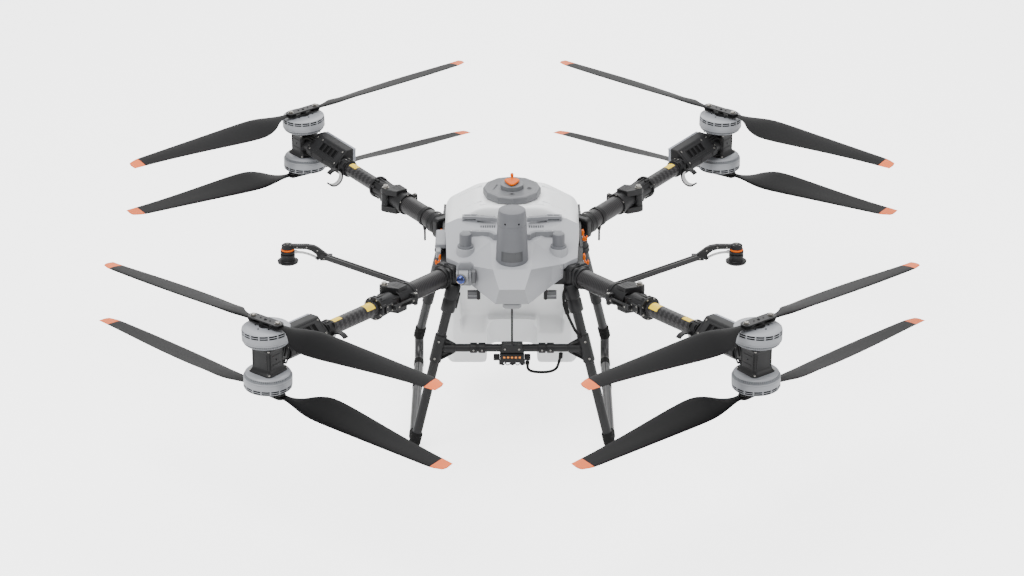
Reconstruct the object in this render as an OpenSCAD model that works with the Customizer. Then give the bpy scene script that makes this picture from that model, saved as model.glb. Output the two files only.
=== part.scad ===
// Folding agricultural spray drone: four arms with coaxial rotor pairs, a lift-out tank and two spray lances.
// Origin on the ground under the middle of the rotor pattern, front towards -Y, +Z up.

/* [Rotor layout] */
// Sideways distance from the middle to each rotor axis
rotor_x = 700; // [690:5:710]
// Fore and aft distance from the middle to each rotor axis
rotor_y = 840; // [830:5:850]
// Height of the middle of a rotor pair
rotor_z = 607; // [600:1:615]
// Height of a propeller's plane above or below the middle of its pair
plane_gap = 108.5; // [108:0.5:110]
// Radius swept by a propeller
prop_radius = 686; // [670:1:690]
// Lean of each rotor about its arm
rotor_cant = 1.7; // [0:0.1:2]
// Turn of the front propellers away from square to the arm, at rest
front_blade_turn = 4; // [0:1:8]
// Turn of the rear propellers away from square to the arm, at rest
rear_blade_turn = 1.5; // [0:0.5:4]

/* [Arms] */
// Angle of the arms from the X axis
arm_angle = 53; // [52:0.5:54]
// Rise of the arms towards the rotors
arm_rise = 3; // [2:0.5:4]
// Diameter of the outer arm tubes
outer_tube_d = 46; // [42:1:48]
// Diameter of the inner arm tubes
inner_tube_d = 60; // [56:1:60]
// Rotor axis to fold pin on a front arm
front_hinge = 568; // [560:1:575]
// Rotor axis to fold pin on a rear arm
rear_hinge = 527; // [520:1:535]
// Sideways distance from a tube's axis to its fold pin
pin_side = 34; // [34:1:36]

/* [Motors] */
// Diameter of a motor bell
bell_d = 142; // [136:1:144]
// Width of the mount block between two motors
block_w = 68; // [60:1:72]
// Distance between the two blade bolts of a rotor
bolt_gap = 98; // [96:1:100]

/* [Body] */
// Half width of the tank
tank_half = 210; // [200:1:210]
// Front face of the tank
tank_y0 = -5; // [-5:1:0]
// Back face of the tank
tank_y1 = 205; // [200:1:206]
// Height of the tank's top face
tank_top = 722; // [715:1:725]
// Height of the tank's bottom
tank_bottom = 180; // [178:1:200]
// Height of the chassis deck
deck_z = 590; // [588:1:592]
// Height of the sensor tower's top
tower_top = 802; // [780:1:805]

/* [Landing gear] */
// Diameter of the leg tubes
leg_d = 30; // [28:1:32]
// Sideways distance to each skid
skid_x = 308; // [300:1:312]
// Back end of the skids
skid_back = 416; // [400:1:420]
// Height of the crossbar between the front legs
crossbar_z = 335; // [330:1:345]

/* [Spray lances] */
// Length of a lance from its pivot to its spray head
lance_len = 434; // [420:1:450]
// Angle of the lances from the X axis
lance_angle = 39; // [36:1:42]
// Height of the lances
lance_z = 245; // [240:1:250]

/* [Hidden] */
$fn = 48;
ARMS = ["fl", "fr", "rl", "rr"];
LEVELS = ["top", "low"];
TIPS = ["a", "b"];

run_gap = 0.05;      // radial clearance of a pin or shaft in its bore
free_gap = 0.4;      // clearance between faces that pass each other
tube_wall = 2;
block_half = 43.5;   // half height of the mount block
base_top = 57;       // top of a fixed motor base
bell_low = 57.6;     // lower edge of a spinning bell
bell_top = 92;       // upper edge of a bell's side
shaft_r = 8;
bolt_r = 4;          // blade bolt
eye_r = 17;          // round eye at a blade's root
eye_half = 3.7;      // half height of that eye
plate_t = 4;         // thickness of a hub plate
pin_r = 6;           // fold pin
knuckle_half = 20;   // half height of the outer knuckle's lug
fork_top = 41;       // outer height of the fork's lugs
sleeve_r = 33;       // radius of the hinge sleeves
rail_y0 = -190;
rail_y1 = 330;
rail_in = tank_half + 1.5;
rail_out = rail_in + 8;
rail_low = 540;
tower_y = -216;
lid_y = (tank_y0 + tank_y1) / 2 - 6;
neck_r = 72;
lid_r = 91;
leg_r = leg_d / 2;
skid_z = leg_r + 1.5;
leg_top = [-182, -200, 530];
leg_foot = [-306, -232, 12];
knee = [-skid_x, skid_back, 84];
rear_top = [-225, 320, 462];
camera_pos = [-148, -242, 588];
lance_root = [-296, 420, lance_z];
battery_x = 170;     // half width of the battery pack
battery_y0 = 232;
battery_y1 = 384;
battery_z0 = 372;
battery_z1 = 604;
pump_y = 232;        // front of the pump unit
recess_depth = 50;   // of the recess in the tank's front, between its feet
head_turn = 39;      // turn of a spray head outwards from its rod
head_len = 125;      // rod's end to the disc's axis

function end_of(a) = a[0] == "f" ? -1 : 1;
function side_of(a) = a[1] == "l" ? -1 : 1;
function mix(a, b, t) = a + (b - a) * t;
function dark() = [0.13, 0.13, 0.14];
function grey() = [0.66, 0.67, 0.69];
function orange() = [0.93, 0.36, 0.13];

// ---------------------------------------------------------------- placing
// Children are drawn for the left side and repeated on the right
module both_sides() {
  children();
  mirror([1, 0, 0]) children();
}

module flip_if(flag, axis) {
  if (flag) mirror(axis) children();
  else children();
}

// Frame of one arm: origin in the middle of its rotor pair, +X towards the body
module at_arm(a) {
  flip_if(side_of(a) > 0, [1, 0, 0])
    translate([-rotor_x, end_of(a) * rotor_y, rotor_z])
      rotate([0, 0, -end_of(a) * arm_angle]) children();
}

// The same frame leaned so that +X runs down the tube
module along_arm(a) {
  at_arm(a) rotate([0, arm_rise, 0]) children();
}

// The fold side of the tube is +Y
module fold_frame(a) {
  along_arm(a) flip_if(end_of(a) > 0, [0, 1, 0]) children();
}

function hinge_at(a) = end_of(a) < 0 ? front_hinge : rear_hinge;

// A straight round bar between two points
module bar(p, q, r) {
  d = q - p;
  len = norm(d);
  translate(p) rotate([0, acos(d.z / len), atan2(d.y, d.x)]) cylinder(h = len, r = r);
}

module tube_x(x0, x1, r, wall) {
  translate([x0, 0, 0]) rotate([0, 90, 0]) difference() {
    cylinder(h = x1 - x0, r = r);
    translate([0, 0, -1]) cylinder(h = x1 - x0 + 2, r = r - wall);
  }
}

module rod_x(x0, x1, r) {
  translate([x0, 0, 0]) rotate([0, 90, 0]) cylinder(h = x1 - x0, r = r);
}

module box(low, high) {
  translate(low) cube(high - low);
}

module round_rect(w, d, r) {
  offset(r = r) square([w - 2 * r, d - 2 * r], center = true);
}

// ---------------------------------------------------------------- rotors
// Leans a rotor about its arm: the outer side of a top rotor drops, that of a low one rises
module rotor_frame(a, level) {
  lean = end_of(a) * rotor_cant;
  at_arm(a) flip_if(level == "low", [0, 0, 1]) rotate([lean, 0, 0]) children();
}

module bell() {
  difference() {
    union() {
      cylinder(h = bell_top - bell_low, r = bell_d / 2);
      translate([0, 0, bell_top - bell_low]) cylinder(h = 4, r1 = bell_d / 2, r2 = bell_d / 2 - 9);
    }
    translate([0, 0, -1]) cylinder(h = bell_top - bell_low - 1, r = bell_d / 2 - 4);
  }
}

// Capsule through both blade bolts
module hub_plate(w) {
  linear_extrude(plate_t) hull() {
    for (s = [-1, 1]) translate([0, s * bolt_gap / 2]) circle(d = w);
  }
}

module rotor(a, level) {
  color(grey()) rotor_frame(a, level) rotate([0, 0, rest_turn(a)]) {
    translate([0, 0, bell_low]) bell();
    translate([0, 0, 46]) cylinder(h = 52, r = shaft_r);
    translate([0, 0, bell_top]) cylinder(h = plane_gap - bell_top - 7.9, r = 20);
    translate([0, 0, plane_gap - plate_t - 4]) hub_plate(30);
    translate([0, 0, plane_gap - 5]) cylinder(h = 10, r = 10);
    translate([0, 0, plane_gap + 4]) hub_plate(34);
    for (s = [-1, 1]) translate([0, s * bolt_gap / 2, 0]) {
      translate([0, 0, plane_gap - 6]) cylinder(h = 18, r = bolt_r);
      translate([0, 0, plane_gap + 8]) cylinder(h = 5.5, r = 7.5, $fn = 6);
    }
  }
}

// Turn of a propeller about its rotor axis at rest, away from square to the arm
function rest_turn(a) = end_of(a) < 0 ? -front_blade_turn : rear_blade_turn;

// A blade's sections: distance from its bolt, width, width ahead of the bolt line, twist, thickness
blade_len = prop_radius - bolt_gap / 2;
BLADE = [
  [10, 27, 13.5, 0, 5], [34, 30, 15, 1, 5.6], [62, 48, 20, 5, 7.6], [95, 80, 27, 12, 8], [140, 101, 33, 17, 8.4],
  [200, 104, 34, 16, 8], [300, 94, 31, 13, 7], [410, 80, 27, 10, 6], [520, 65, 22, 8, 5],
  [600, 54, 17, 7, 4], [blade_len, 42, 6, 6, 3]
];
// Half section from the leading edge round to the trailing edge: share of width, share of thickness
FOIL = [
  [0, 0], [0.08, 0.42], [0.3, 0.62], [0.62, 0.48], [0.99, 0.05], [1, -0.06], [0.62, -0.22], [0.3, -0.36], [0.08, -0.32]
];

function foil_point(b, p) =
  let (v = b[2] - b[1] * p[0], h = b[4] * p[1])
  [b[0], v * cos(b[3]) - h * sin(b[3]), v * sin(b[3]) + h * cos(b[3])];

module blade_solid() {
  rings = [for (b = BLADE) [for (p = FOIL) foil_point(b, p)]];
  loft(rings);
}

// Closed skin over rings of points with the same count
module loft(rings) {
  n = len(rings[0]);
  m = len(rings);
  sides = [for (i = [0 : m - 2], j = [0 : n - 1])
    let (k = (j + 1) % n, p = i * n, q = (i + 1) * n)
    each [[p + j, q + j, q + k], [p + j, q + k, p + k]]];
  ends = [[for (j = [0 : n - 1]) j], [for (j = [n - 1 : -1 : 0]) (m - 1) * n + j]];
  polyhedron(points = [for (r = rings) each r], faces = concat(sides, ends), convexity = 4);
}

module blade(a, level, tip) {
  s = tip == "a" ? -1 : 1;
  color(dark()) rotor_frame(a, level) rotate([0, 0, rest_turn(a)])
    translate([0, s * bolt_gap / 2, plane_gap]) rotate([0, 0, s * 90])
      difference() {
        union() {
          flip_if(blade_flip(a, level), [0, 1, 0]) blade_solid();
          translate([0, 0, -eye_half]) cylinder(h = 2 * eye_half, r = eye_r);
        }
        translate([0, 0, -20]) cylinder(h = 40, r = bolt_r + run_gap);
      }
}

// Leading edges face the way the rotor turns; the arm frame is already mirrored on the right
function blade_flip(a, level) = (end_of(a) > 0) != (level == "low");

// ---------------------------------------------------------------- motor pods and arms
module motor_base() {
  difference() {
    union() {
      translate([0, 0, 40]) cylinder(h = 6, r = 56);
      translate([0, 0, 45.5]) cylinder(h = base_top - 45.5, r1 = 60, r2 = 69);
      translate([0, 0, base_top - 0.5]) cylinder(h = 26, r = 58);
    }
    translate([0, 0, 30]) cylinder(h = base_top - 29, r = shaft_r + run_gap);
    translate([0, 0, base_top]) cylinder(h = 40, r = shaft_r + 6);
  }
}

module mount_block() {
  translate([0, 0, -block_half]) linear_extrude(2 * block_half) round_rect(block_w, block_w, 9);
}

// Speed controller housing: its sloping vented panel faces -Y and its heat sink +Y
module controller_housing() {
  rotate([90, 0, 90]) translate([0, 0, 62]) linear_extrude(174)
    polygon([[-36, -12], [-36, 4], [12, 50], [40, 50], [40, -22], [24, -28], [-20, -28]]);
  box([66, 39, -16], [232, 51, 46]);
}

// Open clip that holds the neighbouring arm's tube when the arms are folded
module c_hook() {
  hook_r = 24.5;
  translate([248, -54, -22]) rotate([90, 0, 90]) linear_extrude(20) difference() {
    circle(r = hook_r + 6);
    circle(r = hook_r);
    polygon([[0, 0], [-60, 46], [-60, -46]]);
  }
  rotate([90, 0, 90]) translate([0, 0, 240]) linear_extrude(34) difference() {
    circle(r = outer_tube_d / 2 + 6);
    translate([-54, -22]) circle(r = hook_r + 0.01);
  }
}

module motor_pod(a) {
  color(dark()) difference() {
    union() {
      at_arm(a) mount_block();
      for (l = LEVELS) rotor_frame(a, l) motor_base();
      along_arm(a) rod_x(28, 62, outer_tube_d / 2 + 6);
      along_arm(a) controller_housing();
      along_arm(a) c_hook();
    }
    along_arm(a) rod_x(24, 290, outer_tube_d / 2);
  }
}

module arm_tube(a) {
  h = hinge_at(a);
  color(dark()) fold_frame(a) {
    tube_x(24, h - 60, outer_tube_d / 2, tube_wall);
    difference() {
      union() {
        rod_x(h - 86, h - 16, sleeve_r - 2);
        rod_x(h - 92, h - 84, sleeve_r + 4);
        box([h - 30, -sleeve_r + 6, -knuckle_half], [h - 0.5, sleeve_r - 6, knuckle_half]);
        box([h - 34, 0, -knuckle_half], [h, pin_side, knuckle_half]);
        translate([h, pin_side, -knuckle_half]) cylinder(h = 2 * knuckle_half, r = 14);
      }
      rod_x(h - 95, h - 60, outer_tube_d / 2 - tube_wall / 2);
      translate([h, pin_side, -60]) cylinder(h = 120, r = pin_r + run_gap);
      box([h, -60, -60], [h + 60, pin_side - 14.5, 60]);
    }
  }
}

module hinge_fork(a) {
  h = hinge_at(a);
  fold_frame(a) {
    difference() {
      union() {
        rod_x(h + 0.5, h + 72, sleeve_r);
        rod_x(h + 64, h + 76, sleeve_r + 3);
        for (s = [0, 1]) mirror([0, 0, s]) translate([0, 0, knuckle_half + free_gap])
          linear_extrude(fork_top - knuckle_half - free_gap) fork_outline(h);
      }
      translate([h, pin_side, -knuckle_half - free_gap])
        cylinder(h = 2 * (knuckle_half + free_gap), r = 14.5);
      box([h - 60, -60, -80], [h + 0.5, pin_side - 15.2, 80]);
      rod_x(h + 22, h + 80, inner_tube_d / 2 + 0.02);
    }
    translate([h, pin_side, -fork_top]) cylinder(h = 2 * fork_top + 4, r = pin_r);
    translate([h, pin_side, fork_top]) cylinder(h = 9, r = 10, $fn = 6);
    latch_boss(h);
  }
}

// Plan of a fork lug: a round nose over the pin that widens back to the sleeve
module fork_outline(h) {
  translate([h, pin_side]) circle(r = 15);
  polygon([[h, pin_side + 15], [h + 46, 24], [h + 46, -20], [h + 4, -20], [h - 4, pin_side - 14]]);
}

// Post on the fork that carries the latch lever
module latch_boss(h) {
  difference() {
    union() {
      box([h + 44, -sleeve_r - 14, -9], [h + 62, -sleeve_r + 4, 9]);
      for (s = [-1, 1]) translate([h + 53, -sleeve_r - 12, s * 13 - 4]) cylinder(h = 8, r = 8);
      box([h + 44, -sleeve_r - 12, -17], [h + 62, -sleeve_r + 4, 17]);
    }
    translate([h + 53, -sleeve_r - 12, -8.4]) cylinder(h = 16.8, r = 9.5);
    box([h + 30, -sleeve_r - 40, -8.4], [h + 53, -sleeve_r - 2.5, 8.4]);
    rod_x(h + 20, h + 90, inner_tube_d / 2 + 1);
  }
  translate([h + 53, -sleeve_r - 12, -17]) cylinder(h = 34, r = bolt_r);
}

module fold_latch(a) {
  h = hinge_at(a);
  color(dark()) fold_frame(a) difference() {
    union() {
      translate([h + 53, -sleeve_r - 12, -8]) cylinder(h = 16, r = 9);
      box([h - 44, -sleeve_r - 17, -8], [h + 53, -sleeve_r - 7, 8]);
      box([h - 46, -sleeve_r - 17, -8], [h - 36, -sleeve_r - 3, 8]);
    }
    translate([h + 53, -sleeve_r - 12, -20]) cylinder(h = 40, r = bolt_r + run_gap);
  }
}

module inner_arms() {
  color([0.2, 0.2, 0.21]) for (a = ARMS)
    along_arm(a) tube_x(hinge_at(a) + 22, tube_end(a), inner_tube_d / 2, tube_wall);
}

// Where an arm's root block starts, along its tube
function root_at(a) = end_of(a) < 0 ? 806 : 746;
function tube_end(a) = end_of(a) < 0 ? 846 : 786;

module hinge_forks() {
  color(dark()) for (a = ARMS) hinge_fork(a);
}

// ---------------------------------------------------------------- chassis
module root_block(a, grow = 0) {
  w = (end_of(a) < 0 ? 77 : 68) + 2 * grow;
  along_arm(a) rotate([90, 0, 90]) translate([0, 0, root_at(a) - grow])
    linear_extrude(66 + 2 * grow) round_rect(w, w, 10);
}

// Two cheeks that hold the camera's trunnion
module camera_fork() {
  for (s = [-1, 1]) difference() {
    box([camera_pos.x + s * 19.2 - 3.6, camera_pos.y - 8, camera_pos.z - 9],
        [camera_pos.x + s * 19.2 + 3.6, rail_y0 + 2, camera_pos.z + 9]);
    translate(camera_pos) rotate([0, 90, 0]) cylinder(h = 80, r = 5 + run_gap, center = true);
  }
}

module chassis() {
  color(dark()) difference() {
    union() {
      both_sides() {
        box([-rail_out, rail_y0, rail_low], [-rail_in, rail_y1, deck_z]);
        leg_clamp();
        rear_socket();
      }
      for (a = ARMS) root_block(a);
      box([-rail_out, rail_y0, rail_low], [rail_out, rail_y0 + 8, deck_z]);
      box([-rail_out, rail_y0, deck_z - 5], [rail_out, tank_y0 - 8, deck_z]);
      box([-rail_out, tank_y0 - 16, rail_low], [rail_out, tank_y0 - 8, deck_z]);
      box([-rail_out, tank_y1 + 8, rail_low], [rail_out, tank_y1 + 16, deck_z]);
      battery_tray();
      camera_fork();
    }
    box([-rail_in, tank_y0 - 7.9, 100], [rail_in, tank_y1 + 7.9, 900]);
    for (a = ARMS) along_arm(a) rod_x(root_at(a) - 60, tube_end(a), inner_tube_d / 2);
    both_sides() bar(leg_top, leg_foot, leg_r);
    both_sides() bar(mix(rear_top, knee, -0.02), knee, leg_r);
  }
}

// Clamp under the front root block that grips the front leg's top
module leg_clamp() {
  bar(mix(leg_top, leg_foot, -0.03), mix(leg_top, leg_foot, 0.14), leg_r + 8);
}

// Socket on the battery tray that grips the rear leg's top
module rear_socket() {
  bar(mix(rear_top, knee, -0.04), mix(rear_top, knee, 0.14), leg_r + 6);
  box([rear_top.x, rear_top.y - 20, rear_top.z - 30], [-battery_x - 6, rear_top.y + 20, rear_top.z + 4]);
  box([-rail_out - 4, rail_y1 - 40, rail_low], [-rail_in, rail_y1, deck_z]);
}

module battery_tray() {
  w = battery_x + 8;
  difference() {
    box([-w, battery_y0 - 8, battery_z0 - 8], [w, battery_y1 + 6, rail_low + 20]);
    box([-battery_x - 1, battery_y0 - 1, battery_z0], [battery_x + 1, battery_y1 + 1, 900]);
    box([-battery_x + 30, battery_y0 - 60, battery_z0 + 30], [battery_x - 30, battery_y1 + 60, rail_low - 10]);
  }
  both_sides() box([-rail_in - 1, battery_y0 - 8, rail_low], [-w + 2, rail_y1, rail_low + 20]);
}

module battery_pack() {
  color([0.25, 0.25, 0.27]) {
    box([-battery_x, battery_y0, battery_z0 + 0.3], [battery_x, battery_y1, battery_z1]);
    both_sides() box([-80, 296, battery_z1 - 1], [-66, 320, battery_z1 + 26]);
    box([-80, 296, battery_z1 + 16], [80, 320, battery_z1 + 28]);
  }
}

module flight_controller() {
  color([0.3, 0.3, 0.32]) {
    box([-90, -150, deck_z + 0.2], [90, -40, deck_z + 34]);
    both_sides() box([-84, -144, deck_z + 34], [-20, -60, deck_z + 40]);
  }
}

// ---------------------------------------------------------------- front shell and its fittings
// Corners of the shell's left half: the plane of symmetry is X = 0
SHELL = [
  [-168, -7, 684], [-208, -7, 665], [-208, -7, 596], [-202, -155, 614], [-202, -155, 594], [-158, -188, 608],
  [-157, -192, 562], [-122, -218, 616], [-120, -224, 546], [-66, -120, 655], [-57, -280, 630], [-39, -336, 587],
  [-51, -300, 523], [-51, -236, 520], [-157, -192, 590], [-206, -100, 593]
];

module shell_body(k) {
  hull() for (p = SHELL, s = [-1, 1])
    translate([s * p.x * k, mix(-130, p.y, k), mix(590, p.z, k)]) sphere(r = 0.5, $fn = 4);
}

module front_shell() {
  color(grey()) difference() {
    shell_body(1);
    shell_body(0.955);
    box([-260, rail_y0 - 0.3, 400], [260, 60, deck_z + 0.2]);
    box([-260, tank_y0 - 2, 400], [260, 80, 720]);
    translate([0, tower_y, 540]) cylinder(h = 200, r = 52);
    both_sides() translate([-143, -136, 600]) cylinder(h = 100, r = 30);
    translate(camera_pos) rotate([0, 90, 0]) cylinder(h = 60, r = 27, center = true);
    box([camera_pos.x - 27, camera_pos.y, camera_pos.z - 16], [camera_pos.x + 27, -185, camera_pos.z + 16]);
    for (a = ["fl", "fr"]) root_block(a, 1);
  }
}

module sensor_tower() {
  color([0.5, 0.51, 0.52]) translate([0, tower_y, 0]) {
    translate([0, 0, deck_z + 0.2]) cylinder(h = 52, r = 50);
    translate([0, 0, deck_z + 52]) cylinder(h = tower_top - deck_z - 64, r1 = 50, r2 = 43.5);
    translate([0, 0, tower_top - 12.5]) cylinder(h = 12.5, r1 = 43.5, r2 = 40);
  }
}

module antennas() {
  color([0.6, 0.61, 0.63]) both_sides() {
    translate([-143, -136, 606]) cylinder(h = 44, r1 = 29.7, r2 = 25);
    translate([-143, -136, 649]) cylinder(h = 40, r = 19);
  }
}

// Curved brackets that tie the tower to the deck, and the orange hooks on the rails
module deck_fittings() {
  color(grey()) both_sides() {
    translate([0, 0, 655]) linear_extrude(41)
      polygon([[-155, -8], [-116, -8], [-104, -12], [-60, -12], [-46, -26], [-46, -42], [-56, -40],
               [-66, -28], [-106, -27], [-118, -22], [-155, -22]]);
    translate([0, -26, 645]) linear_extrude(30)
      polygon([[-155, -46], [-118, -46], [-104, -52], [-72, -52], [-52, -66], [-46, -84], [-56, -88],
               [-64, -74], [-78, -66], [-108, -68], [-120, -64], [-155, -64]]);
  }
  color(orange()) both_sides() for (y = [-92, 98]) translate([-rail_out - 6, y, 566]) {
    box([0, -8, 0], [5.8, 8, 30]);
    box([-5, -8, 0], [0, 8, 8]);
  }
}

// Forked seat and housing in front of the left root, with the turning camera
module camera_head() {
  color([0.55, 0.56, 0.58]) translate(camera_pos) {
    rotate([0, 90, 0]) cylinder(h = 30, r = 21, center = true);
    rotate([0, 90, 0]) cylinder(h = 46, r = 5, center = true);
    translate([-4, -16, 0]) rotate([90, 0, -25]) cylinder(h = 14, r = 12);
  }
}

// ---------------------------------------------------------------- landing gear
module front_legs() {
  color(dark()) both_sides() difference() {
    bar(leg_top, leg_foot, leg_r);
    bar(mix(leg_top, leg_foot, -0.1), mix(leg_top, leg_foot, 1.1), leg_r - tube_wall);
  }
}

module rear_leg() {
  bend = 60;
  translate([knee.x, skid_back - bend, skid_z]) {
    translate([0, 0, bend]) rotate([90, 90, 90]) rotate_extrude(angle = 90)
      translate([bend, 0]) circle(r = leg_r);
  }
  bar([knee.x, skid_back - bend, skid_z], [knee.x, -176, skid_z], leg_r);
  bar([knee.x, skid_back, skid_z + bend], knee, leg_r);
  translate(knee) sphere(r = leg_r);
  bar(knee, rear_top, leg_r);
  bar(mix(knee, rear_top, -0.05), mix(knee, rear_top, 0.06), leg_r + 3);
  lance_lugs();
}

module rear_legs() {
  color([0.3, 0.3, 0.31]) both_sides() rear_leg();
}

function rear_leg_at(z) = mix(knee, rear_top, (z - knee.z) / (rear_top.z - knee.z));
function leg_at(z) = mix(leg_top, leg_foot, (leg_top.z - z) / (leg_top.z - leg_foot.z));

module crossbar() {
  c = leg_at(crossbar_z);
  color(dark()) difference() {
    union() {
      bar([c.x, c.y, crossbar_z], [-c.x, c.y, crossbar_z], 12.5);
      both_sides() {
        bar(leg_at(crossbar_z + 44), leg_at(crossbar_z - 44), leg_r + 4);
        translate([0, c.y + 10, 0]) rotate([90, 0, 0]) linear_extrude(20)
          polygon([[c.x + 4, crossbar_z + 38], [c.x + 52, crossbar_z + 16], [c.x + 52, crossbar_z - 16],
                   [c.x - 2, crossbar_z - 38]]);
        translate([-106, c.y, crossbar_z]) rotate([0, 90, 0]) cylinder(h = 40, r = 17, center = true);
      }
      box([-34, c.y - 16, crossbar_z - 13], [34, c.y + 16, crossbar_z + 16]);
    }
    both_sides() bar(leg_top, leg_foot, leg_r);
  }
}

module foot_cap(p, q, r) {
  intersection() {
    difference() {
      bar(p, q, r + 3.5);
      children();
    }
    box([-500, -500, 0], [500, 500, 500]);
  }
}

module foot_caps() {
  down = leg_foot - leg_top;
  color([0.1, 0.1, 0.1]) both_sides() {
    foot_cap(leg_foot - 0.075 * down, leg_foot + 0.06 * down, leg_r) {
      bar(leg_top, leg_foot, leg_r);
      translate([knee.x - 25, -195, -1]) cube([50, 60, 60]);
    }
    for (y = [-194, 150, skid_back - 96]) difference() {
      union() {
        translate([knee.x, y, skid_z]) rotate([-90, 0, 0]) cylinder(h = 34, r = leg_r + 1.5);
        box([knee.x - 10, y, 0], [knee.x + 10, y + 34, skid_z]);
      }
      translate([knee.x, -176, skid_z]) rotate([-90, 0, 0]) cylinder(h = 700, r = leg_r);
    }
  }
}

module light_module() {
  y = leg_at(crossbar_z).y;
  color([0.16, 0.16, 0.17]) {
    box([-38, y - 22, crossbar_z - 42], [38, y + 12, crossbar_z - 13.2]);
    both_sides() box([-58, y - 10, crossbar_z - 46], [-38, y + 12, crossbar_z - 22]);
    for (x = [-40, -6, 26]) box([x, y - 8, crossbar_z - 56], [x + 16, y + 8, crossbar_z - 42]);
  }
}

// ---------------------------------------------------------------- cables held along their routes
MODULE_CABLE = [
  [48, -212, 289], [48, -212, 276], [50, -212, 263], [60, -212, 255], [80, -213, 252], [104, -213, 252], [124, -213, 256],
  [138, -213, 266], [145, -213, 284], [149, -213, 303], [151, -213, 316]
];
LEG_CABLE = [
  [166, -208, 540], [158, -224, 526], [158, -234, 506], [164, -239, 482], [173, -241, 456], [184, -241, 430],
  [195, -239, 406], [206, -232, 388], [214, -222, 376]
];

// Round tube along a list of points
module cable(route, r, sides) {
  last = len(route) - 1;
  rings = [for (i = [0 : last])
    let (d = route[min(i + 1, last)] - route[max(i - 1, 0)], w = d / norm(d),
         u0 = cross(w, [0.13, 0.97, 0.21]), u = u0 / norm(u0), v = cross(w, u))
    [for (j = [0 : sides - 1]) route[i] + r * (cos(j * 360 / sides) * u + sin(j * 360 / sides) * v)]];
  loft([for (ring = rings) [for (j = [sides - 1 : -1 : 0]) ring[j]]]);
}

module cables() {
  color([0.08, 0.08, 0.08]) {
    cable(MODULE_CABLE, 4.5, 8);
    cable(LEG_CABLE, 4.5, 8);
  }
}

// ---------------------------------------------------------------- spraying
module pump_unit() {
  color([0.2, 0.2, 0.22]) {
    box([-110, pump_y + 8, 340], [110, pump_y + 100, 363.8]);
    both_sides() {
      translate([-62, pump_y + 54, 262]) cylinder(h = 78, r = 38);
      translate([-62, pump_y + 54, 276]) rotate([0, -90, 0]) cylinder(h = 62, r = 9);
    }
    box([-26, pump_y + 30, 290], [26, pump_y + 78, 340]);
  }
}

// Front outline of the tank's left half, from the arch between the feet up to the shoulders
TANK = [
  [0, 228], [-66, 228], [-80, 214], [-80, tank_bottom], [-200, tank_bottom], [-tank_half, tank_bottom + 14],
  [-tank_half, 650], [-196, 672], [-100, tank_top], [0, tank_top]
];

module tank_outline() {
  both = concat(TANK, [for (i = [len(TANK) - 2 : -1 : 1]) [-TANK[i].x, TANK[i].y]]);
  polygon(both);
}

// Recess in the tank's front over the arch, grown by a margin
module front_recess(grow) {
  translate([0, tank_y0 + recess_depth + grow, 0]) rotate([90, 0, 0]) linear_extrude(recess_depth + grow + 10)
    offset(delta = grow) polygon([[-80, 160], [-76, 308], [-56, 333], [56, 333], [76, 308], [80, 160]]);
}

module spray_tank() {
  color([0.93, 0.94, 0.94, 0.8]) difference() {
    union() {
      translate([0, tank_y1, 0]) rotate([90, 0, 0]) linear_extrude(tank_y1 - tank_y0) tank_outline();
      translate([0, lid_y, tank_top - 2]) cylinder(h = 16, r = neck_r);
    }
    difference() {
      translate([0, tank_y1 - 4, 0]) rotate([90, 0, 0]) linear_extrude(tank_y1 - tank_y0 - 8)
        offset(delta = -4) tank_outline();
      front_recess(4);
    }
    front_recess(0);
    translate([0, lid_y, tank_top - 20]) cylinder(h = 60, r = neck_r - 5);
  }
}

module tank_lid() {
  color([0.6, 0.61, 0.62]) translate([0, lid_y, 0]) {
    difference() {
      union() {
        translate([0, 0, tank_top + 1]) cylinder(h = 24, r = lid_r, $fn = 12);
        translate([0, -2, tank_top + 25]) cylinder(h = 14, r1 = 36, r2 = 34);
        translate([0, 34, tank_top + 20]) cylinder(h = 38, r = 3.4);
      }
      translate([0, 0, tank_top - 1]) cylinder(h = 16, r = neck_r + run_gap);
      translate([0, -2, tank_top + 20]) cylinder(h = 30, r = 5 + run_gap);
    }
  }
}

// Drop-shaped vent cap that turns on the lid's boss
module vent_cap() {
  color(orange()) translate([0, lid_y - 2, 0]) {
    translate([0, 0, tank_top + 39.4]) linear_extrude(7) hull() {
      translate([0, 3]) circle(r = 21);
      translate([14, 8]) circle(r = 10);
      translate([-14, 8]) circle(r = 10);
      translate([0, -18]) circle(r = 7);
    }
    translate([0, 0, tank_top + 20.5]) cylinder(h = 20, r = 5);
  }
}

module lance_frame(side) {
  flip_if(side > 0, [1, 0, 0]) translate(lance_root) rotate([0, 0, 180 - lance_angle]) children();
}

module head_frame(side) {
  lance_frame(side) translate([lance_len, 0, 0]) rotate([0, 0, head_turn]) children();
}

// Rod with its pivot eye, and the arched head over the spray disc
module spray_lance(side) {
  color(dark()) difference() {
    union() {
      lance_frame(side) {
        cylinder(h = 22, r = 14, center = true);
        box([6, -8.5, -8.5], [lance_len + 4, 8.5, 8.5]);
        box([lance_len - 22, -11, -11], [lance_len + 6, 11, 11]);
      }
      head_frame(side) {
        rotate([90, 0, 0]) translate([0, 0, -9]) linear_extrude(18)
          polygon([[-10, -10], [-6, 10], [22, 34], [58, 46], [head_len + 10, 46], [head_len + 22, 38],
                   [head_len + 22, 22], [58, 24], [34, 14], [14, -10]]);
        translate([head_len, 0, 14]) cylinder(h = 30, r = 21);
      }
    }
    lance_frame(side) translate([0, 0, -30]) cylinder(h = 60, r = pin_r + run_gap);
    head_frame(side) translate([head_len, 0, 0]) cylinder(h = 34, r = 4 + run_gap);
  }
}

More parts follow.
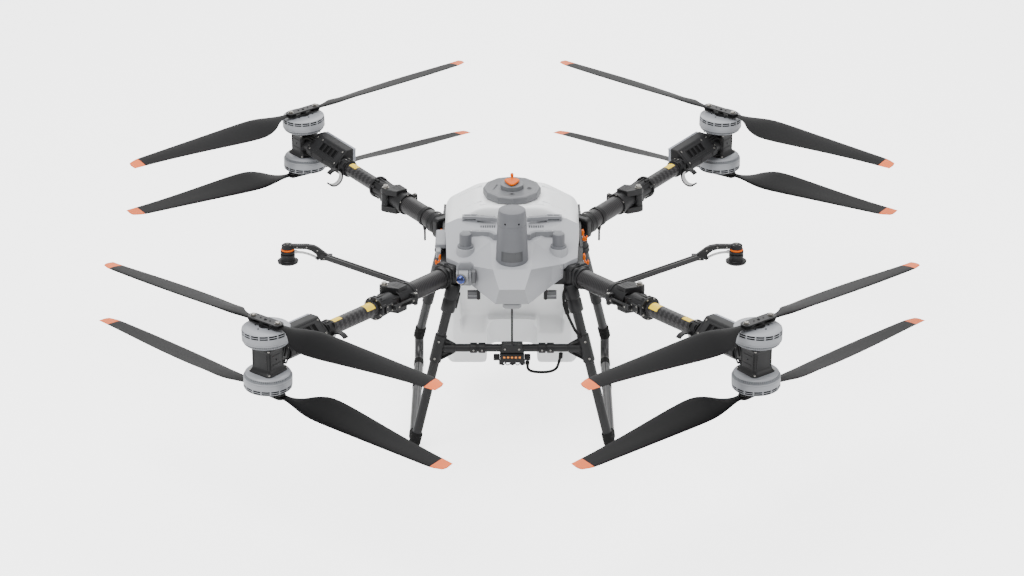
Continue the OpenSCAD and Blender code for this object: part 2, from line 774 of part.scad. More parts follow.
module spray_disc(side) {
  color(dark()) head_frame(side) translate([head_len, 0, 0]) {
    translate([0, 0, -22]) cylinder(h = 10, r1 = 30, r2 = 36);
    translate([0, 0, -12]) cylinder(h = 24, r1 = 24, r2 = 25);
    translate([0, 0, 0]) cylinder(h = 32, r = 4);
  }
}

// Lugs on a rear leg with the pin that a lance turns on
module lance_lugs() {
  translate(lance_root) cylinder(h = 54, r = pin_r, center = true);
  for (s = [-1, 1]) {
    translate(lance_root + [0, 0, s * 17.5]) cylinder(h = 12, r = 14, center = true);
    bar(lance_root + [0, 0, s * 17.5], rear_leg_at(lance_z + s * 17.5), 6);
  }
}

// ---------------------------------------------------------------- drawing
chassis();
front_shell();
deck_fittings();
sensor_tower();
antennas();
flight_controller();
inner_arms();
hinge_forks();
front_legs();
rear_legs();
crossbar();
foot_caps();
light_module();
cables();
pump_unit();
spray_tank();
tank_lid();
vent_cap();
battery_pack();
camera_head();
spray_lance(-1);  // spray_lance_l
spray_lance(1);  // spray_lance_r
spray_disc(-1);  // spray_disc_l
spray_disc(1);  // spray_disc_r
for (a = ARMS) {
  arm_tube(a);
  motor_pod(a);
  fold_latch(a);
}
for (a = ARMS, l = LEVELS) {
  rotor(a, l);
}
for (a = ARMS, l = LEVELS, t = TIPS) {
  blade(a, l, t);
}
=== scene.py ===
import math

import bmesh
import bpy
from mathutils import Matrix, Vector


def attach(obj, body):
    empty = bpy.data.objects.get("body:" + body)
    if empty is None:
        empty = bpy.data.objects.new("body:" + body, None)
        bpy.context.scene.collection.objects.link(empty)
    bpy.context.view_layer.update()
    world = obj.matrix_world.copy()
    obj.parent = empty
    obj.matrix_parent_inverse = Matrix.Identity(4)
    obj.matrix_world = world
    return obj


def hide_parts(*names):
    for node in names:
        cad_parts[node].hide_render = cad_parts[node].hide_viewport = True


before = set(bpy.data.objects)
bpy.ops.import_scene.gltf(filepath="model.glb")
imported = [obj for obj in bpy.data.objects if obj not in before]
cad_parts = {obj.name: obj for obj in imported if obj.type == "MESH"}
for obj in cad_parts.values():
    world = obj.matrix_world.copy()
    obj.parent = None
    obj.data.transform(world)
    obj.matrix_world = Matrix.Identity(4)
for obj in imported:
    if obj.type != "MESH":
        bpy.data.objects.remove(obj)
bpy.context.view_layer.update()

MM = 0.001
ARMS = ("fl", "fr", "rl", "rr")
LEVELS = ("top", "low")

# ---------------------------------------------------------------- the drone's own sizes, in mm
ROTOR = (700.0, 840.0, 607.0)
PLANE = 108.5
RADIUS = 686.0
CANT = 1.7
ARM_ANGLE = 53.0
RISE = 3.0
HINGE = {-1: 568.0, 1: 527.0}
TUBE_END = {-1: 846.0, 1: 786.0}
ROOT_AT = {-1: 806.0, 1: 746.0}
REST = {-1: -4.0, 1: 1.5}
PIN_SIDE = 34.0
BOLT = 49.0
TOWER_Y = -216.0
LID_Y = 94.0
CROSS_Z = 335.0
LEG_TOP = Vector((-182, -200, 530))
LEG_FOOT = Vector((-306, -232, 12))
KNEE = Vector((-308, 416, 84))
REAR_TOP = Vector((-225, 320, 462))
CAMERA = Vector((-148, -242, 588))
LANCE = Vector((-296, 420, 245))
LANCE_LEN, LANCE_AZ, HEAD_TURN, HEAD_LEN = 434.0, 141.0, 39.0, 125.0


def end_of(a):
    return -1 if a[0] == "f" else 1


def right(a):
    return a[1] == "r"


def rot(deg, axis):
    return Matrix.Rotation(math.radians(deg), 4, axis)


def move(x, y, z):
    return Matrix.Translation((x, y, z))


def flip(x=1, y=1, z=1):
    return Matrix.Diagonal((x, y, z, 1))


def at_arm(a):
    m = move(-ROTOR[0], end_of(a) * ROTOR[1], ROTOR[2]) @ rot(-end_of(a) * ARM_ANGLE, "Z")
    return flip(x=-1) @ m if right(a) else m


def along_arm(a):
    return at_arm(a) @ rot(RISE, "Y")


def fold_frame(a):
    return along_arm(a) @ (flip(y=-1) if end_of(a) > 0 else Matrix())


def rotor_frame(a, level):
    return at_arm(a) @ (flip(z=-1) if level == "low" else Matrix()) @ rot(end_of(a) * CANT, "X")


# ---------------------------------------------------------------- materials
def srgb(r, g, b):
    def lin(c):
        return c / 12.92 if c <= 0.04045 else ((c + 0.055) / 1.055) ** 2.4
    return (lin(r), lin(g), lin(b), 1.0)


class Mat:
    """A small builder for node materials."""

    def __init__(self, name):
        self.m = bpy.data.materials.new(name)
        self.m.use_nodes = True
        self.t = self.m.node_tree
        self.n = self.t.nodes
        self.bsdf = self.n["Principled BSDF"]

    def node(self, kind, **props):
        x = self.n.new(kind)
        for k, v in props.items():
            setattr(x, k, v)
        return x

    def link(self, a, b):
        self.t.links.new(a, b)

    def put(self, value, socket):
        if hasattr(value, "is_output"):
            self.link(value, socket)
        else:
            socket.default_value = value

    def math(self, op, a, b=0.0, c=None):
        x = self.node("ShaderNodeMath", operation=op)
        self.put(a, x.inputs[0])
        self.put(b, x.inputs[1])
        if c is not None:
            self.put(c, x.inputs[2])
        return x.outputs[0]

    def coords(self, kind="Object"):
        return self.node("ShaderNodeTexCoord").outputs[kind]

    def noise(self, scale, detail=3.0, rough=0.55, vector=None, stretch=None):
        x = self.node("ShaderNodeTexNoise")
        x.inputs["Scale"].default_value = scale
        x.inputs["Detail"].default_value = detail
        x.inputs["Roughness"].default_value = rough
        src = vector or self.coords()
        if stretch:
            mp = self.node("ShaderNodeMapping")
            mp.inputs["Scale"].default_value = stretch
            self.link(src, mp.inputs[0])
            src = mp.outputs[0]
        self.link(src, x.inputs["Vector"])
        return x.outputs[0]

    def ramp(self, fac, stops):
        x = self.node("ShaderNodeValToRGB")
        while len(x.color_ramp.elements) < len(stops):
            x.color_ramp.elements.new(0.5)
        for e, (p, c) in zip(x.color_ramp.elements, stops):
            e.position = p
            e.color = c
        self.link(fac, x.inputs[0])
        return x.outputs[0]

    def mix(self, fac, a, b):
        x = self.node("ShaderNodeMix", data_type="RGBA")
        self.put(fac, x.inputs[0])
        self.put(a, x.inputs[6])
        self.put(b, x.inputs[7])
        return x.outputs[2]

    def span(self, v, lo, hi):
        x = self.node("ShaderNodeMapRange")
        self.link(v, x.inputs[0])
        x.inputs[3].default_value = lo
        x.inputs[4].default_value = hi
        return x.outputs[0]

    def bump(self, height, strength, distance):
        x = self.node("ShaderNodeBump")
        x.inputs["Strength"].default_value = strength
        x.inputs["Distance"].default_value = distance
        self.link(height, x.inputs["Height"])
        self.link(x.outputs[0], self.bsdf.inputs["Normal"])
        return x

    def set(self, name, value):
        self.put(value, self.bsdf.inputs[name])

    def lighten_convex_edges(self, base, lighter, amount=0.5):
        """Blends towards a lighter tone on sharp convex edges."""
        g = self.node("ShaderNodeNewGeometry")
        e = self.node("ShaderNodeMapRange")
        self.link(g.outputs["Pointiness"], e.inputs[0])
        e.inputs[1].default_value = 0.52
        e.inputs[2].default_value = 0.62
        e.inputs[3].default_value = 0.0
        e.inputs[4].default_value = amount
        return self.mix(e.outputs[0], base, lighter)


def painted(name, color, rough=0.4, grain=900.0, depth=0.00006, tone=0.06, coat=0.0, metallic=0.0,
        edge=0.25,
            spec=0.5):
    k = Mat(name)
    dark = tuple(c * (1 - tone) for c in color[:3]) + (1,)
    light = tuple(min(1, c * (1 + tone)) for c in color[:3]) + (1,)
    broad = k.noise(6.0, 3)
    base = k.mix(broad, dark, light)
    pale = tuple(min(1, c * 1.6 + 0.02) for c in color[:3]) + (1,)
    k.set("Base Color", k.lighten_convex_edges(base, pale, edge))
    k.set("Roughness", k.span(k.noise(35.0, 4), rough - 0.06, rough + 0.06))
    k.set("Metallic", metallic)
    k.set("Coat Weight", coat)
    k.set("Coat Roughness", 0.12)
    k.set("Specular IOR Level", spec)
    k.bump(k.noise(grain, 2), 0.35, depth)
    return k.m


def metal(name, color, rough=0.25, brushed=None):
    k = Mat(name)
    k.set("Metallic", 1.0)
    tone = k.noise(60, 3, stretch=brushed)
    k.set("Base Color", k.mix(tone, tuple(c * 0.86 for c in color[:3]) + (1,), color))
    k.set("Roughness", k.span(k.noise(300, 2, stretch=brushed), rough - 0.05, rough + 0.1))
    k.bump(k.noise(700, 2, stretch=brushed), 0.15, 0.00003)
    return k.m


def woven(name, pitch, angle, dark, light, rough=0.34, coat=0.5, span=2.0, spec=0.4):
    """Twill under clear resin. UVs are in mm: U along the tube, V round it."""
    k = Mat(name)
    uv = k.node("ShaderNodeUVMap")
    uv.uv_map = "mm"
    mp = k.node("ShaderNodeMapping")
    mp.inputs["Rotation"].default_value = (0, 0, math.radians(angle))
    mp.inputs["Scale"].default_value = (1 / pitch, 1 / pitch, 1)
    k.link(uv.outputs[0], mp.inputs[0])
    sx = k.node("ShaderNodeSeparateXYZ")
    k.link(mp.outputs[0], sx.inputs[0])
    u, v = sx.outputs[0], sx.outputs[1]
    cell = k.math("ADD", k.math("FLOOR", u), k.math("FLOOR", v))
    over = k.math("LESS_THAN", k.math("MODULO", k.math("ADD", cell, 4000.0), 2 * span), span)
    fu = k.math("ABSOLUTE", k.math("SINE", k.math("MULTIPLY", u, math.pi)))
    fv = k.math("ABSOLUTE", k.math("SINE", k.math("MULTIPLY", v, math.pi)))
    crown = k.node("ShaderNodeMix", data_type="FLOAT")
    k.link(over, crown.inputs[0])
    k.link(fu, crown.inputs[2])
    k.link(fv, crown.inputs[3])
    tow = crown.outputs[0]
    fib = k.noise(14.0, 2, vector=mp.outputs[0], stretch=(2.0, 14.0, 1.0))
    tone = k.math("MULTIPLY", k.math("ADD", k.math("MULTIPLY", over, 0.75), 0.25),
        k.math("ADD", k.math("MULTIPLY", tow, 0.6), 0.4))
    tone = k.math("ADD", tone, k.math("MULTIPLY", fib, 0.18))
    k.set("Base Color", k.mix(tone, dark, light))
    k.set("Roughness", rough)
    k.set("Specular IOR Level", spec)
    k.set("Coat Weight", coat)
    k.set("Coat Roughness", 0.16)
    k.bump(k.math("ADD", tow, k.math("MULTIPLY", over, 0.5)), 0.35, 0.00025)
    return k.m


def banded(name, pitch, slant, dark, light, rough=0.36, coat=0.45, spec=0.4):
    """Fine filament bands that wind round a tube."""
    k = Mat(name)
    uv = k.node("ShaderNodeUVMap")
    uv.uv_map = "mm"
    sx = k.node("ShaderNodeSeparateXYZ")
    k.link(uv.outputs[0], sx.inputs[0])
    u = k.math("DIVIDE", k.math("ADD", sx.outputs[0], k.math("MULTIPLY", sx.outputs[1], slant)), pitch)
    wave = k.math("ADD", k.math("MULTIPLY", k.math("SINE", k.math("MULTIPLY", u, 2 * math.pi)), 0.5), 0.5)
    mp = k.node("ShaderNodeMapping")
    mp.inputs["Scale"].default_value = (0.6, 0.06, 1)
    k.link(uv.outputs[0], mp.inputs[0])
    fib = k.noise(3.0, 3, vector=mp.outputs[0])
    tone = k.math("ADD", k.math("MULTIPLY", wave, 0.75), k.math("MULTIPLY", fib, 0.3))
    k.set("Base Color", k.mix(tone, dark, light))
    k.set("Roughness", k.span(fib, rough - 0.05, rough + 0.08))
    k.set("Specular IOR Level", spec)
    k.set("Coat Weight", coat)
    k.set("Coat Roughness", 0.18)
    k.bump(wave, 0.25, 0.00012)
    return k.m


M = {}
M["twill"] = woven("carbon_twill", 7.0, 45, srgb(0.045, 0.045, 0.05), srgb(0.20, 0.195, 0.20), coat=0.12,
    spec=0.22)
M["band"] = banded("carbon_wound", 7.5, 0.18, srgb(0.06, 0.06, 0.06), srgb(0.20, 0.195, 0.20), coat=0.12,
    spec=0.22)
M["fine"] = woven("carbon_fine", 3.0, 45, srgb(0.04, 0.04, 0.045), srgb(0.15, 0.15, 0.155), coat=0.12,
    span=1.0, spec=0.22)
M["cast"] = painted("black_casting", srgb(0.085, 0.085, 0.09), 0.42, grain=1400, depth=0.00012, tone=0.10,
    edge=0.3, spec=0.3)
M["plate"] = painted("black_plate", srgb(0.075, 0.075, 0.08), 0.38, grain=700, depth=0.00004, tone=0.08,
    spec=0.25)
M["nylon"] = painted("black_nylon", srgb(0.07, 0.07, 0.075), 0.5, grain=1800, depth=0.00010, tone=0.08,
    edge=0.2, spec=0.28)
M["sleeve"] = painted("black_sleeve", srgb(0.08, 0.08, 0.085), 0.38, grain=1200, depth=0.00005, tone=0.06,
    spec=0.3)
M["rubber"] = painted("rubber", srgb(0.05, 0.05, 0.05), 0.72, grain=2200, depth=0.00014, tone=0.12,
    edge=0.1, spec=0.2)
# painted shade: a flat near-black material that stands in for the shade inside holes, slots and recesses
M["void"] = painted("painted_shade_black", srgb(0.015, 0.015, 0.017), 0.7, tone=0.2, edge=0.0, spec=0.1)
M["bell"] = painted("motor_grey", srgb(0.545, 0.553, 0.57), 0.34, grain=1500, depth=0.00003, tone=0.03,
    edge=0.2)
M["bell2"] = painted("motor_rim_grey", srgb(0.45, 0.46, 0.475), 0.38, grain=1500, depth=0.00003, tone=0.04,
    edge=0.3)
M["shell"] = painted("shell_grey", srgb(0.60, 0.605, 0.62), 0.40, grain=1100, depth=0.00004, tone=0.018,
    coat=0.05, edge=0.1, spec=0.4)
M["chin"] = painted("chin_grey", srgb(0.56, 0.565, 0.575), 0.42, grain=1100, depth=0.00004, tone=0.02,
    edge=0.1, spec=0.4)
M["bracket"] = painted("bracket_grey", srgb(0.49, 0.495, 0.51), 0.4, grain=900, depth=0.00004, tone=0.03)
M["bracket_d"] = painted("bracket_dark", srgb(0.30, 0.305, 0.315), 0.45, grain=900, depth=0.00005,
    tone=0.04)
M["tower"] = painted("tower_grey", srgb(0.375, 0.38, 0.395), 0.42, grain=1300, depth=0.00007, tone=0.02,
    edge=0.1, spec=0.4)
M["window"] = painted("window_grey", srgb(0.25, 0.255, 0.265), 0.3, grain=1300, depth=0.00003, tone=0.02,
    edge=0.05)
M["lid"] = painted("lid_grey", srgb(0.40, 0.405, 0.415), 0.46, grain=1500, depth=0.00009, tone=0.03,
    spec=0.35)
M["orange"] = painted("orange_plastic", (0.66, 0.115, 0.0, 1), 0.45, grain=1200, depth=0.00004, tone=0.03,
    edge=0.0, spec=0.12)
M["tip"] = painted("orange_tip", (0.72, 0.135, 0.025, 1), 0.42, grain=1200, depth=0.00003, tone=0.03,
    edge=0.05, spec=0.2)
M["amber"] = painted("amber_window", (0.80, 0.25, 0.02, 1), 0.2, tone=0.05, edge=0.0)
M["white"] = painted("white_window", srgb(0.90, 0.91, 0.92), 0.2, tone=0.03, edge=0.0)
M["steel"] = metal("steel", srgb(0.66, 0.65, 0.63), 0.28)
M["dark_steel"] = metal("dark_steel", srgb(0.26, 0.26, 0.27), 0.36)
M["fin"] = metal("fin_aluminium", srgb(0.60, 0.61, 0.64), 0.34, brushed=(1, 1, 30))
M["washer"] = painted("washer_nylon", srgb(0.72, 0.72, 0.72), 0.4, tone=0.04)
M["hose"] = painted("clear_hose", srgb(0.74, 0.74, 0.74), 0.25, tone=0.05, edge=0.0)


def blade_mat():
    k = Mat("blade_carbon_nylon")
    flow = k.noise(40.0, 3, vector=k.coords("Object"), stretch=(1.0, 1.0, 1.0))
    k.set("Base Color", k.mix(flow, srgb(0.03, 0.03, 0.034), srgb(0.05, 0.05, 0.054)))
    k.set("Roughness", k.span(k.noise(120.0, 3), 0.36, 0.46))
    k.set("Specular IOR Level", 0.09)
    k.bump(k.noise(1600.0, 2), 0.25, 0.00005)
    return k.m


def leg_mat():
    """Tubes with a glossy coat over a dark core."""
    k = Mat("glossy_leg")
    k.set("Base Color", k.mix(k.noise(12, 3), srgb(0.12, 0.12, 0.125), srgb(0.16, 0.16, 0.165)))
    k.set("Metallic", 0.1)
    k.set("Roughness", k.span(k.noise(60, 3), 0.30, 0.38))
    k.set("Coat Weight", 0.12)
    k.set("Coat Roughness", 0.12)
    k.bump(k.noise(500, 2), 0.1, 0.00003)
    return k.m


def tank_mat():
    k = Mat("tank_translucent")
    base = k.mix(k.noise(5, 3), srgb(0.93, 0.935, 0.94), srgb(0.955, 0.96, 0.96))
    k.set("Base Color", base)
    k.set("Roughness", k.span(k.noise(30, 3), 0.26, 0.38))
    k.set("Subsurface Weight", 0.15)
    k.set("Subsurface Scale", 0.02)
    k.set("Subsurface Radius", (1.0, 1.0, 1.0))
    k.set("Coat Weight", 0.25)
    k.set("Coat Roughness", 0.2)
    k.bump(k.noise(260, 2), 0.2, 0.00008)
    return k.m


def lens_mat():
    k = Mat("coated_lens")
    lw = k.node("ShaderNodeLayerWeight")
    lw.inputs[0].default_value = 0.45
    cr = k.ramp(lw.outputs[1], [(0.0, srgb(0.05, 0.08, 0.25)), (0.35, srgb(0.08, 0.25, 0.62)),
                                (0.62, srgb(0.75, 0.62, 0.30)), (1.0, srgb(0.35, 0.30, 0.22))])
    k.set("Base Color", cr)
    k.set("Metallic", 0.85)
    k.set("Roughness", 0.05)
    k.set("Coat Weight", 1.0)
    k.set("Coat Roughness", 0.02)
    return k.m


def sticker_mat():
    k = Mat("yellow_sticker")
    uv = k.node("ShaderNodeUVMap")
    uv.uv_map = "mm"
    sx = k.node("ShaderNodeSeparateXYZ")
    k.link(uv.outputs[0], sx.inputs[0])
    line = k.math("GREATER_THAN", k.math("SINE", k.math("MULTIPLY", sx.outputs[0], 1.5)), 0.72)
    field = k.math("GREATER_THAN", k.math("SINE", k.math("MULTIPLY", sx.outputs[1], 0.17)), 0.2)
    ink = k.math("MULTIPLY", k.math("MULTIPLY", line, field), 0.25)
    base = k.mix(k.noise(20, 2), (0.72, 0.50, 0.010, 1), (0.80, 0.56, 0.016, 1))
    k.set("Base Color", k.mix(ink, base, srgb(0.25, 0.22, 0.08)))
    k.set("Roughness", 0.42)
    k.bump(k.noise(400, 2), 0.1, 0.00003)
    return k.m


M["blade"] = blade_mat()
M["leg"] = leg_mat()
M["tank"] = tank_mat()
M["lens"] = lens_mat()
M["sticker"] = sticker_mat()

# ---------------------------------------------------------------- mesh building
class Build:
    """Collects shapes in mm in one frame, each with a material, and turns them into one piece."""

    def __init__(self, name, body, matrix=None):
        self.name, self.body = name, body
        self.matrix = matrix or Matrix()
        self.bm = bmesh.new()
        self.uv = self.bm.loops.layers.uv.new("mm")
        self.mats = []

    def slot_of(self, mat):
        if mat not in self.mats:
            self.mats.append(mat)
        return self.mats.index(mat)

    def faces(self, verts, faces, mat, m=None, uvs=None):
        m = self.matrix @ m if m else self.matrix
        vs = [self.bm.verts.new(m @ Vector(v)) for v in verts]
        inward = m.determinant() < 0
        i = self.slot_of(mat)
        made = []
        for n, f in enumerate(faces):
            order = list(f)
            coords = list(uvs[n]) if uvs else None
            if inward:
                order.reverse()
                if coords:
                    coords.reverse()
            try:
                face = self.bm.faces.new([vs[j] for j in order])
            except ValueError:
                continue
            face.material_index = i
            if coords:
                for loop, c in zip(face.loops, coords):
                    loop[self.uv].uv = c
            made.append(face)
        return made

    def box(self, lo, hi, mat, m=None, chamfer=0.0):
        if chamfer:
            c = chamfer
            x0, y0 = lo[0], lo[1]
            x1, y1 = hi[0], hi[1]
            pts = [(x0 + c, y0), (x1 - c, y0), (x1, y0 + c), (x1, y1 - c), (x1 - c, y1), (x0 + c, y1),
                (x0, y1 - c), (x0, y0 + c)]
            return self.prism(pts, lo[2], hi[2], mat, m, chamfer)
        v = [(x, y, z) for z in (lo[2], hi[2]) for y in (lo[1], hi[1]) for x in (lo[0], hi[0])]
        f = [(0, 2, 3, 1), (4, 5, 7, 6), (0, 1, 5, 4), (2, 6, 7, 3), (0, 4, 6, 2), (1, 3, 7, 5)]
        return self.faces(v, f, mat, m)

    def prism(self, pts, z0, z1, mat, m=None, chamfer=0.0):
        """Outline in XY, counterclockwise, run from z0 to z1, with its end edges chamfered inwards."""
        n = len(pts)
        area = sum(pts[i][0] * pts[(i + 1) % n][1] - pts[(i + 1) % n][0] * pts[i][1] for i in range(n))
        if area < 0:
            pts = pts[::-1]
        levels = [(z0, 0.0), (z1, 0.0)]
        if chamfer:
            levels = [(z0, chamfer), (z0 + chamfer, 0.0), (z1 - chamfer, 0.0), (z1, chamfer)]
        verts = []
        for z, inset in levels:
            verts += [(x, y, z) for x, y in (shrink(pts, inset) if inset else pts)]
        k = len(levels)
        f = [tuple(range(n - 1, -1, -1)), tuple(range((k - 1) * n, k * n))]
        for r in range(k - 1):
            f += [(r * n + i, r * n + (i + 1) % n, (r + 1) * n + (i + 1) % n, (r + 1) * n + i)
                for i in range(n)]
        return self.faces(verts, f, mat, m)

    def lathe(self, prof, mat, m=None, seg=64, a0=0.0, a1=360.0, closed=True):
        """Profile of (radius, z) turned about Z. A profile that closes on itself makes a ring."""
        full = abs(a1 - a0) >= 359.99
        cols = seg if full else seg + 1
        verts, rows = [], len(prof)
        for i in range(cols):
            a = math.radians(a0 + (a1 - a0) * i / seg)
            c, s = math.cos(a), math.sin(a)
            verts += [(r * c, r * s, z) for r, z in prof]
        f, uvs = [], []
        length = [0.0]
        for (r0, z0), (r1, z1) in zip(prof, prof[1:]):
            length.append(length[-1] + math.hypot(r1 - r0, z1 - z0))
        steps = rows if closed else rows - 1
        for i in range(seg):
            j = (i + 1) % cols if full else i + 1
            for r in range(steps):
                q = (r + 1) % rows
                if prof[r][0] < 1e-6 and prof[q][0] < 1e-6:
                    continue
                ids = [i * rows + r, j * rows + r, j * rows + q, i * rows + q]
                f.append(ids)
                ra = max(prof[r][0], prof[q][0])
                u0, u1 = math.radians(360 * i / seg) * ra, math.radians(360 * (i + 1) / seg) * ra
                v0 = length[r]
                v1 = length[q] if q else v0
                uvs.append([(v0, u0), (v0, u1), (v1, u1), (v1, u0)])
        made = self.faces(verts, f, mat, m, uvs)
        if not full and closed:
            self.faces([verts[r] for r in range(rows)], [tuple(range(rows))], mat, m)
            self.faces([verts[seg * rows + r] for r in range(rows)], [tuple(range(rows - 1, -1, -1))], mat,
                m)
        return made

    def rod(self, p, q, r, mat, m=None, seg=32, inner=0.0, chamfer=0.0):
        """Round bar or tube from p to q, with UVs in mm."""
        p, q = Vector(p), Vector(q)
        d = q - p
        h = d.length
        turn = d.to_track_quat("Z", "Y").to_matrix().to_4x4()
        t = Matrix.Translation(p) @ turn
        if m:
            t = m @ t
        c = chamfer
        if inner:
            prof = [(inner, 0), (r - c, 0), (r, c), (r, h - c), (r - c, h),
                (inner, h)] if c else [(inner, 0), (r, 0), (r, h), (inner, h)]
            return self.lathe(prof, mat, t, seg)
        prof = [(0, 0), (r - c, 0), (r, c), (r, h - c), (r - c, h), (0, h)] if c else [(0, 0), (r, 0),
            (r, h), (0, h)]
        return self.lathe(prof, mat, t, seg, closed=False)

    def sweep(self, pts, r, mat, m=None, seg=12, smooth=4):
        """Round tube along a smooth path through pts."""
        path = spline([Vector(p) for p in pts], smooth) if smooth else [Vector(p) for p in pts]
        up = None
        verts = []
        for i, p in enumerate(path):
            d = (path[min(i + 1, len(path) - 1)] - path[max(i - 1, 0)]).normalized()
            if up is None:
                up = d.orthogonal().normalized()
            up = (up - d * up.dot(d)).normalized()
            side = d.cross(up)
            radius = r(i / (len(path) - 1)) if callable(r) else r
            verts += [tuple(p + radius * (math.cos(2 * math.pi * k / seg) * up
                + math.sin(2 * math.pi * k / seg) * side)) for k in range(seg)]
        n = len(path)
        f, uvs = [], []
        run = 0.0
        for i in range(n - 1):
            step = (path[i + 1] - path[i]).length
            for k in range(seg):
                j = (k + 1) % seg
                f.append((i * seg + k, i * seg + j, (i + 1) * seg + j, (i + 1) * seg + k))
                rr = r(i / (n - 1)) if callable(r) else r
                v0, v1 = 2 * math.pi * rr * k / seg, 2 * math.pi * rr * (k + 1) / seg
                uvs.append([(run, v0), (run, v1), (run + step, v1), (run + step, v0)])
            run += step
        f.append(tuple(range(seg - 1, -1, -1)))
        uvs.append([(0, 0)] * seg)
        f.append(tuple((n - 1) * seg + k for k in range(seg)))
        uvs.append([(0, 0)] * seg)
        return self.faces(verts, f, mat, m, uvs)

    def bolt(self, p, axis, r, h, mat=None, m=None, washer=0.0):
        """Hex socket screw head standing on p."""
        t = Matrix.Translation(Vector(p)) @ Vector(axis).to_track_quat("Z", "Y").to_matrix().to_4x4()
        if m:
            t = m @ t
        mat = mat or M["steel"]
        if washer:
            self.lathe([(0, 0), (washer, 0), (washer, h * 0.18), (0, h * 0.18)], mat, t, 24, closed=False)
        z = h * 0.18 if washer else 0.0
        self.lathe([(0, z), (r, z), (r, h * 0.85), (r * 0.85, h), (r * 0.5, h)], mat, t, 18, closed=False)
        self.lathe([(r * 0.5, h), (r * 0.45, h * 0.55), (0, h * 0.5)], M["dark_steel"], t, 6, closed=False)

    def skin(self, rings, mat, m=None, caps=True, flip_faces=False):
        n = len(rings[0])
        verts = [tuple(p) for ring in rings for p in ring]
        f = []
        for i in range(len(rings) - 1):
            for k in range(n):
                j = (k + 1) % n
                f.append((i * n + k, i * n + j, (i + 1) * n + j, (i + 1) * n + k))
        if caps:
            f.append(tuple(range(n - 1, -1, -1)))
            f.append(tuple((len(rings) - 1) * n + k for k in range(n)))
        if flip_faces:
            f = [x[::-1] for x in f]
        return self.faces(verts, f, mat, m)

    def done(self, bevel=0.0, angle=30.0, sub=0, replaces=(), slot=None, weld=True, segments=2,
            outward=False,
             cutters=None):
        if weld:
            bmesh.ops.remove_doubles(self.bm, verts=self.bm.verts, dist=0.0005)
        if outward:
            bmesh.ops.recalc_face_normals(self.bm, faces=self.bm.faces)
        bmesh.ops.scale(self.bm, vec=(MM, MM, MM), verts=self.bm.verts)
        mesh = bpy.data.meshes.new(self.name)
        for f in self.bm.faces:
            f.smooth = True
        lim = math.radians(angle)
        for e in self.bm.edges:
            if len(e.link_faces) != 2 or e.calc_face_angle(0.0) > lim:
                e.smooth = False
        self.bm.to_mesh(mesh)
        self.bm.free()
        o = bpy.data.objects.new(self.name, mesh)
        bpy.context.scene.collection.objects.link(o)
        for mat in self.mats:
            mesh.materials.append(mat)
        if cutters:
            mould(o, cutters())
        if bevel:
            b = o.modifiers.new("bevel", "BEVEL")
            b.width = bevel * MM
            b.segments = segments
            b.limit_method = "ANGLE"
            b.angle_limit = math.radians(angle)
            b.use_clamp_overlap = True
            b.harden_normals = True
        if sub:
            s = o.modifiers.new("sub", "SUBSURF")
            s.levels = s.render_levels = sub
        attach(o, self.body)
        if replaces:
            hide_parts(*([replaces] if isinstance(replaces, str) else replaces))
        return o


def shrink(pts, d):
    """Outline moved inwards by d, corner by corner."""
    n = len(pts)
    out = []
    for i in range(n):
        a, b, c = Vector(pts[i - 1]).to_2d(), Vector(pts[i]).to_2d(), Vector(pts[(i + 1) % n]).to_2d()
        e0, e1 = (b - a), (c - b)
        if e0.length < 1e-6 or e1.length < 1e-6:
            out.append(tuple(b))
            continue
        e0.normalize()
        e1.normalize()
        n0, n1 = Vector((-e0.y, e0.x)), Vector((-e1.y, e1.x))
        s = n0 + n1
        k = 1.0 / max(0.35, 1 + n0.dot(n1))
        out.append((b.x + s.x * d * k, b.y + s.y * d * k))
    return out


def spline(pts, n):
    """Smooth path through pts with n steps between neighbours."""
    out = []
    for i in range(len(pts) - 1):
        p0, p1, p2, p3 = pts[max(i - 1, 0)], pts[i], pts[i + 1], pts[min(i + 2, len(pts) - 1)]
        for k in range(n):
            t = k / n
            out.append(0.5 * (2 * p1 + (p2 - p0) * t + (2 * p0 - 5 * p1 + 4 * p2 - p3) * t * t
                + (3 * p1 - 3 * p2 + p3 - p0) * t ** 3))
    out.append(pts[-1])
    return out


def arc(cx, cy, r, a0, a1, n):
    return [(cx + r * math.cos(math.radians(a0 + (a1 - a0) * i / n)),
        cy + r * math.sin(math.radians(a0 + (a1 - a0) * i / n))) for i in range(n + 1)]


def lerp(table, x):
    """Smooth interpolation in a table of (x, value)."""
    if x <= table[0][0]:
        return table[0][1]
    for (x0, v0), (x1, v1) in zip(table, table[1:]):
        if x <= x1:
            t = (x - x0) / (x1 - x0)
            return v0 + (v1 - v0) * t * t * (3 - 2 * t)
    return table[-1][1]


def hermite(table, x):
    """Smooth curve through a table of (x, value)."""
    n = len(table)
    x = min(max(x, table[0][0]), table[-1][0])
    for i in range(n - 1):
        (x0, v0), (x1, v1) = table[i], table[i + 1]
        if x <= x1:
            h = x1 - x0
            def slope(j):
                a, b = table[max(j - 1, 0)], table[min(j + 1, n - 1)]
                return (b[1] - a[1]) / (b[0] - a[0])
            t = (x - x0) / h
            return ((2 * t ** 3 - 3 * t ** 2 + 1) * v0 + (t ** 3 - 2 * t ** 2 + t) * h * slope(i)
                    + (-2 * t ** 3 + 3 * t ** 2) * v1 + (t ** 3 - t ** 2) * h * slope(i + 1))
    return table[-1][1]


YZX = rot(90, "Z") @ rot(90, "X")  # outline in YZ, run along X

